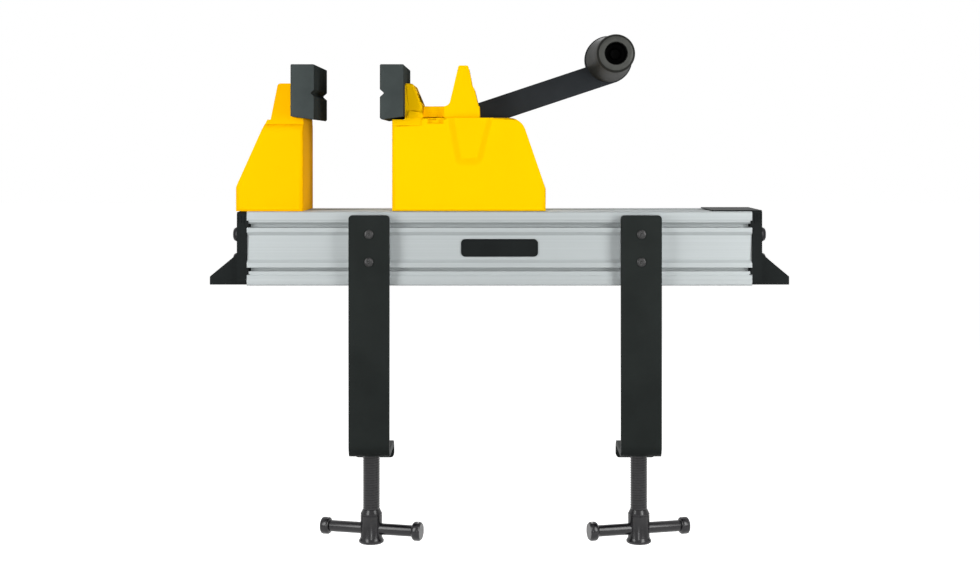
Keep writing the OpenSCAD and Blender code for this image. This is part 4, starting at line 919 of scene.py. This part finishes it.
class GripOperator(bpy.types.Operator):
    """Turning hand grip with a recess in its end"""

    bl_idname = "bench_vise.grip"
    # The grip's screw and washer sit in its recess and take its painted shade
    bl_label = "Grip"

    def execute(self, context):
        low, high = box_mm("grip_sleeve")
        middle = (low + high) / 2
        length = high.y - low.y
        flange, tip, recess, bore = (high.x - low.x) / 2 + 1.9, 13.0, 7.4, 4.2
        floor = length - 14
        rings = [(bore, 0)]
        rings += rounded(flange - 1.5, 1.5, 1.5, 4, -90, 0)
        rings += [(flange - 0.3, 5), (flange - 0.9, 11)]
        rings += [(14.2, length * 0.35), (13.5, length * 0.6)]
        rings += rounded(tip - 3.4, length - 3.4, 3.4, 8, 0, 90)
        rings += [(recess + 0.5, length), (recess + 0.1, length - 0.4), (recess - 0.4, floor)]
        rings += [(bore, floor), (bore, 0)]
        at = (middle.x, high.y, middle.z)
        grip = smooth(turned("hand_grip", rings, at, (0, -1, 0), sides=96, hollow=True), 40)
        dress(grip, finish_for("grip_plastic"), "grip", "grip_plastic", "grip_sleeve")
        # The end face that faces the camera gets a painted highlight, and the recess walls get a painted shade
        for finish in ("grip_end_painted_highlight", "painted_recess_shade"):
            grip.data.materials.append(finish_for(finish))
        for polygon in grip.data.polygons:
            spot = polygon.center / MM - Vector((middle.x, low.y, middle.z))
            if math.hypot(spot.x, spot.z) < recess and spot.y < length - 1:
                polygon.material_index = 2
            elif polygon.normal.y < -0.8:
                polygon.material_index = 1
        return {"FINISHED"}


# Clamps

BALL_RADIUS = 4.4
CREST_RADIUS = 6.0


class StrapsOperator(bpy.types.Operator):
    """Bent clamp straps, their nuts and their rivets"""

    bl_idname = "bench_vise.straps"
    bl_label = "Straps"

    def execute(self, context):
        for side in SIDES:
            body = f"{side}_clamp"
            for node, name, width, segments in (
                (f"{side}_clamp_strap", f"{side}_strap", 0.6, 3),
                (f"{side}_clamp_nut", f"{side}_weld_nut", 0.5, 2),
            ):
                piece = break_edges(clean_copy(node, name), width, segments)
                dress(piece, finish_for("black_steel"), body, "black_steel", node)
            self.rivets(side, body)
        return {"FINISHED"}

    def rivets(self, side, body):
        """Two rivets with a low dome and a dimple in its middle."""
        node = f"{side}_clamp_rivets"
        back = box_mm(node)[1].y
        rings = [
            (2.0, -0.8), (2.0, 6.8), (3.2, 6.8), (3.25, 7.1), (3.0, 7.45), (2.5, 7.7), (1.7, 7.8),
            (1.1, 7.75), (0.9, 7.3), (0.3, 7.2),
        ]
        rivets = [
            turned("rivet", rings, (middle.x, back, middle.z), (0, -1, 0), sides=32)
            for middle in solid_middles(node)
        ]
        piece = smooth(joined(rivets, f"{side}_strap_rivets"), 40)
        dress(piece, finish_for("rivet"), body, "black_screw", node)


class ClampScrewsOperator(bpy.types.Operator):
    """Threaded clamp screws with cross-drilled hubs, sliding bars and swivel pads"""

    bl_idname = "bench_vise.clamp_screws"
    bl_label = "Clamp Screws"

    def execute(self, context):
        for side in SIDES:
            self.clamp_screw(side)
            self.sliding_bar(side)
            self.swivel_pad(side)
        return {"FINISHED"}

    def clamp_screw(self, side):
        """Ball end, neck, thread, hub with ring and rim, and the bar's hole through it."""
        node, name = f"{side}_clamp_screw", f"{side}_threaded_screw"
        low, high = box_mm(node)
        x, y, bar_z = self.bar_middle(side)
        foot, ball, core = low.z, high.z - BALL_RADIUS, CREST_RADIUS - settings().thread_depth / MM
        hub, neck, wide, rim, stem = foot + 24, ball - 6.9, 7.7, 8.9, 3.2
        rings = [(6.9, foot), (8.1, foot), (rim, foot + 0.8), (rim, foot + 1.9), (8.4, foot + 2.6)]
        rings += [(wide, foot + 4.2), (wide, hub - 4.4), (7.4, hub - 4.2), (7.4, hub - 3.7)]
        rings += [(wide, hub - 3.5), (wide, hub - 3.1), (7.3, hub - 2.5), (6.2, hub - 0.2)]
        rings += [(core, hub), (core, neck - 0.8), (core - 0.8, neck)]
        rings += [(stem, neck), (stem, ball - 3.1), *rounded(0, ball, BALL_RADIUS, 8, -40, 82)]
        screw = turned(name, rings, (x, y, 0), sides=64)
        cut(screw, turned("bore", [(4.09, -15), (4.09, 15)], (x, y, bar_z), self.bar_way(side)))
        smooth(screw, 32)
        piece = joined([screw, self.thread(x, y, hub - 0.5, neck - 1.2, core)], name)
        dress(piece, finish_for("turned_black"), f"{side}_screw", "black_steel", node)

    def thread(self, x, y, low, high, core):
        """A trapezoidal ridge wound up the screw."""
        pitch = settings().thread_pitch / MM
        middle = (CREST_RADIUS * MM, 0, (low + pitch * 0.33) * MM)
        ridge = block("thread", (core - 0.3, -0.01, low), (CREST_RADIUS, 0.01, low + pitch * 0.66))
        with editing(ridge):
            pick_faces(ridge, lambda middle, normal: normal.x > 0.9)
            bpy.ops.transform.resize(value=(1, 1, 0.5), center_override=middle)
            pick_faces(ridge, lambda middle, normal: normal.y < 0.9)
            bpy.ops.mesh.delete(type="FACE")
            bpy.ops.mesh.select_all(action="SELECT")
            bpy.ops.mesh.delete(type="ONLY_FACE")
        bpy.ops.object.modifier_add(type="SCREW")
        winding = ridge.modifiers[-1]
        winding.axis = "Z"
        winding.angle = 2 * math.pi
        winding.screw_offset = pitch * MM
        winding.iterations = int((high - low - pitch) / pitch)
        winding.steps = winding.render_steps = 32
        bpy.ops.object.modifier_apply(modifier=winding.name)
        with editing(ridge):
            bpy.ops.mesh.select_all(action="SELECT")
            bpy.ops.mesh.fill_holes(sides=4)
            bpy.ops.mesh.normals_make_consistent(inside=False)
        ridge.location = (x * MM, y * MM, 0)
        place(ridge)
        return smooth(ridge, 30)

    def bar_middle(self, side):
        """Middle of a sliding bar, on its screw's axis."""
        axis, bar = middle_mm(f"{side}_clamp_screw"), middle_mm(f"{side}_tommy_bar")
        return axis.x, axis.y, bar.z

    def bar_way(self, side):
        """Direction of a sliding bar, from the record's joint."""
        joint = next(j for j in frame["joints"] if j["name"] == f"{side}_bar_slide")
        return joint["axis"]

    def sliding_bar(self, side):
        """Round bar with a forged head at one end and a pressed-on head at the other."""
        at, way = self.bar_middle(side), Vector(self.bar_way(side))
        end = 37.25
        inner = end - 6.5
        bar = [(3.4, 0.5 - end), (3.9, 1.0 - end), (4.0, 1.4 - end), (4.0, inner - 0.2)]
        bar += [(4.4, inner), (5.6, inner + 0.5), (6.4, inner + 1.3), (6.7, inner + 2.2)]
        bar += [(6.7, end - 1.6), (6.4, end - 0.7), (5.6, end), (1.0, end)]
        head = [(4.05, inner), (4.6, inner), (5.4, inner + 0.5), (5.9, inner + 1.2)]
        head += [(6.0, inner + 2), (6.0, end - 1.4), (5.7, end - 0.5), (5.0, end), (1.0, end)]
        for node, name, rings, towards in (
            (f"{side}_tommy_bar", f"{side}_sliding_bar", bar, way),
            (f"{side}_tommy_cap", f"{side}_bar_head", head, -way),
        ):
            piece = smooth(turned(name, rings, at, towards, sides=48), 40)
            dress(piece, finish_for("turned_black"), f"{side}_bar", "black_steel", node)

    def swivel_pad(self, side):
        """Cupped pressure pad with three shallow rings in its face."""
        node = f"{side}_swivel_pad"
        foot, top = (corner.z for corner in box_mm(node))
        axis = middle_mm(node)
        ball, cup = box_mm(f"{side}_clamp_screw")[1].z - BALL_RADIUS, BALL_RADIUS + 0.3
        rings = [(0.6, ball + cup - 0.05), *reversed(rounded(0, ball, cup, 7, -36, 80))]
        rings += [(3.8, foot + 0.3), (4.2, foot), (7.2, foot), (8.0, foot + 0.8), (8.0, top - 4.8)]
        rings += [(8.4, top - 4.0), (11.9, top - 3.5), (12.5, top - 3.0), (12.5, top - 0.7)]
        rings += [(11.9, top), (10.2, top), (9.9, top - 0.5), (9.3, top - 0.5), (9.0, top)]
        rings += [(7.2, top), (6.9, top - 0.5), (6.3, top - 0.5), (6.0, top), (0.6, top)]
        pad = smooth(turned(f"{side}_pressure_pad", rings, (axis.x, axis.y, 0), sides=64), 32)
        dress(pad, finish_for("black_steel"), f"{side}_pad", "black_steel", node)


# Small screws

class SmallScrewsOperator(bpy.types.Operator):
    """Screws of the cover and the rack"""

    bl_idname = "bench_vise.small_screws"
    bl_label = "Small Screws"

    def execute(self, context):
        for node, name, body, length, head, height in (
            ("cover_screws", "cover_pan_screws", "moving_jaw_assembly", 14, 7, 2.4),
            ("rack_screws", "rack_pan_screws", "rail_assembly", 4.4, 7.6, 2.2),
        ):
            screw = pan_head_screw("screw", 4, length, head, height)
            screws = set_screws(screw, name, screw_seats(node, 2, 1, height), (0, 0, 1))
            dress(screws, finish_for("zinc_steel"), body, "zinc_steel", node)
        return {"FINISHED"}


class InnerPartsOperator(bpy.types.Operator):
    """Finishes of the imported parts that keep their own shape, most of them inside"""

    bl_idname = "bench_vise.inner_parts"
    bl_label = "Inner Parts"

    def execute(self, context):
        slots = {row["node"]: row["material_slot"] for row in frame["record"]["subparts"]}
        for name, node in frame["nodes"].items():
            if node.hide_render:
                continue
            finish = "painted_recess_shade" if name in ("grip_screw", "grip_washer") else slots[name]
            node.data.materials.clear()
            node.data.materials.append(finish_for(finish))
        return {"FINISHED"}


# Stage

class StageOperator(bpy.types.Operator):
    """Pale floor, soft lamps and the camera"""

    bl_idname = "bench_vise.stage"
    bl_label = "Stage"

    def execute(self, context):
        self.floor()
        self.world(context)
        for name, place_mm, share in (
            ("left_lamp", (-380, -350, 120), 0.60),
            ("right_lamp", (380, -350, 120), 0.68),
            ("front_lamp", (0, -1250, 100), 0.85),
            ("back_lamp", (0, 900, 700), 0.9),
        ):
            self.lamp(name, place_mm, share * settings().lamp_power)
        self.camera(context)
        return {"FINISHED"}

    def white_mix(self, tree, plain, bright):
        """Shows the bright shader to the camera and in reflections, the plain one elsewhere."""
        path = add_node(tree, "LightPath")
        seen = path.outputs["Is Camera Ray"]
        for ray in ("Is Glossy Ray", "Is Transmission Ray"):
            either = add_node(tree, "Math")
            either.operation = "MAXIMUM"
            tree.links.new(seen, either.inputs[0])
            tree.links.new(path.outputs[ray], either.inputs[1])
            seen = either.outputs["Value"]
        mix = add_node(tree, "MixShader", Fac=seen)
        tree.links.new(plain, mix.inputs[1])
        tree.links.new(bright, mix.inputs[2])
        return mix.outputs["Shader"]

    def floor(self):
        """Large plane under the clamp screws' lowest place, white where nothing shades it."""
        bpy.ops.object.select_all(action="DESELECT")
        foot = min(box_mm(f"{side}_clamp_screw")[0].z for side in SIDES) * MM
        level = foot - settings().floor_gap
        bpy.ops.mesh.primitive_plane_add(size=FLOOR_SIZE, location=(0, 0, level))
        floor = bpy.context.object
        floor.name = "studio_floor"
        place(floor)
        material = bpy.data.materials.new("studio_floor_paint")
        material.use_nodes = True
        tree = material.node_tree
        tree.nodes.clear()
        colour = settings().floor_colour
        matt = add_node(tree, "BsdfDiffuse", Color=(*colour, 1))
        dull = add_node(tree, "BsdfDiffuse", Color=(*[FLOOR_DULLING * c for c in colour], 1))
        glow = add_node(tree, "Emission", Strength=FLOOR_GLOW)
        shaded = add_node(tree, "AddShader")
        tree.links.new(matt.outputs["BSDF"], shaded.inputs[0])
        tree.links.new(glow.outputs["Emission"], shaded.inputs[1])
        mix = self.white_mix(tree, dull.outputs["BSDF"], shaded.outputs["Shader"])
        add_node(tree, "OutputMaterial", Surface=mix)
        floor.data.materials.append(material)

    def world(self, context):
        """Even light from all sides, and a white surround for the camera and reflections."""
        world = bpy.data.worlds.new("studio")
        world.use_nodes = True
        tree = world.node_tree
        tree.nodes.clear()
        light = add_node(tree, "Background", Color=(1, 1, 1, 1), Strength=SURROUND_LIGHT)
        white = add_node(tree, "Background", Color=(1, 1, 1, 1))
        mix = self.white_mix(tree, light.outputs["Background"], white.outputs["Background"])
        add_node(tree, "OutputWorld", Surface=mix)
        context.scene.world = world

    def lamp(self, name, place_mm, power):
        """A large soft lamp that faces the middle of the vise."""
        bpy.ops.object.select_all(action="DESELECT")
        bpy.ops.object.light_add(type="AREA", location=[v * MM for v in place_mm])
        lamp = bpy.context.object
        lamp.name = name
        lamp.data.energy = power
        lamp.data.shape = "RECTANGLE"
        lamp.data.size = LAMP_WIDTH
        lamp.data.size_y = LAMP_HEIGHT
        aim = Vector((0, 0, 40)) - Vector(place_mm)
        lamp.rotation_euler = aim.to_track_quat("-Z", "Y").to_euler()
        lamp.visible_camera = False

    def camera(self, context):
        """Camera level with the jaws, straight in front, with the photograph's framing."""
        bpy.ops.object.camera_add(location=[v * MM for v in EYE], rotation=(math.radians(90), 0, 0))
        camera = bpy.context.object
        camera.name = "camera"
        camera.data.sensor_fit = "HORIZONTAL"
        camera.data.sensor_width = SENSOR_WIDTH
        camera.data.lens = FOCAL_PX / IMAGE_WIDTH * SENSOR_WIDTH
        camera.data.shift_x = AXIS_OFF_CENTRE_PX[0] / IMAGE_WIDTH
        camera.data.shift_y = AXIS_OFF_CENTRE_PX[1] / IMAGE_WIDTH
        camera.data.clip_end = 50
        context.scene.camera = camera
        context.scene.view_settings.view_transform = "Standard"


class BenchVisePanel(bpy.types.Panel):
    """Lists the vise's settings and the operators that build it"""

    bl_idname = "VIEW3D_PT_bench_vise"
    bl_label = "Bench Vise"
    bl_space_type = "VIEW_3D"
    bl_region_type = "UI"
    bl_category = "Bench Vise"

    def draw(self, context):
        layout = self.layout
        for name in BenchViseSettings.__annotations__:
            layout.prop(context.scene.bench_vise, name)
        for operator in OPERATORS:
            layout.operator(operator.bl_idname)


OPERATORS = (
    StageOperator,
    RailOperator,
    EndCapsOperator,
    FixedJawOperator,
    MovingJawOperator,
    PadsOperator,
    LeverOperator,
    GripOperator,
    StrapsOperator,
    ClampScrewsOperator,
    SmallScrewsOperator,
    InnerPartsOperator,
)
CLASSES = (BenchViseSettings, *OPERATORS, BenchVisePanel)


def register():
    for cls in CLASSES:
        bpy.utils.register_class(cls)
    bpy.types.Scene.bench_vise = bpy.props.PointerProperty(type=BenchViseSettings)


def unregister():
    del bpy.types.Scene.bench_vise
    for cls in reversed(CLASSES):
        bpy.utils.unregister_class(cls)


def main():
    """Builds every piece in order."""
    register()
    bpy.ops.bench_vise.stage()
    bpy.ops.bench_vise.rail()
    bpy.ops.bench_vise.end_caps()
    bpy.ops.bench_vise.fixed_jaw()
    bpy.ops.bench_vise.moving_jaw()
    bpy.ops.bench_vise.pads()
    bpy.ops.bench_vise.lever()
    bpy.ops.bench_vise.grip()
    bpy.ops.bench_vise.straps()
    bpy.ops.bench_vise.clamp_screws()
    bpy.ops.bench_vise.small_screws()
    bpy.ops.bench_vise.inner_parts()


if __name__ == "__main__":
    main()
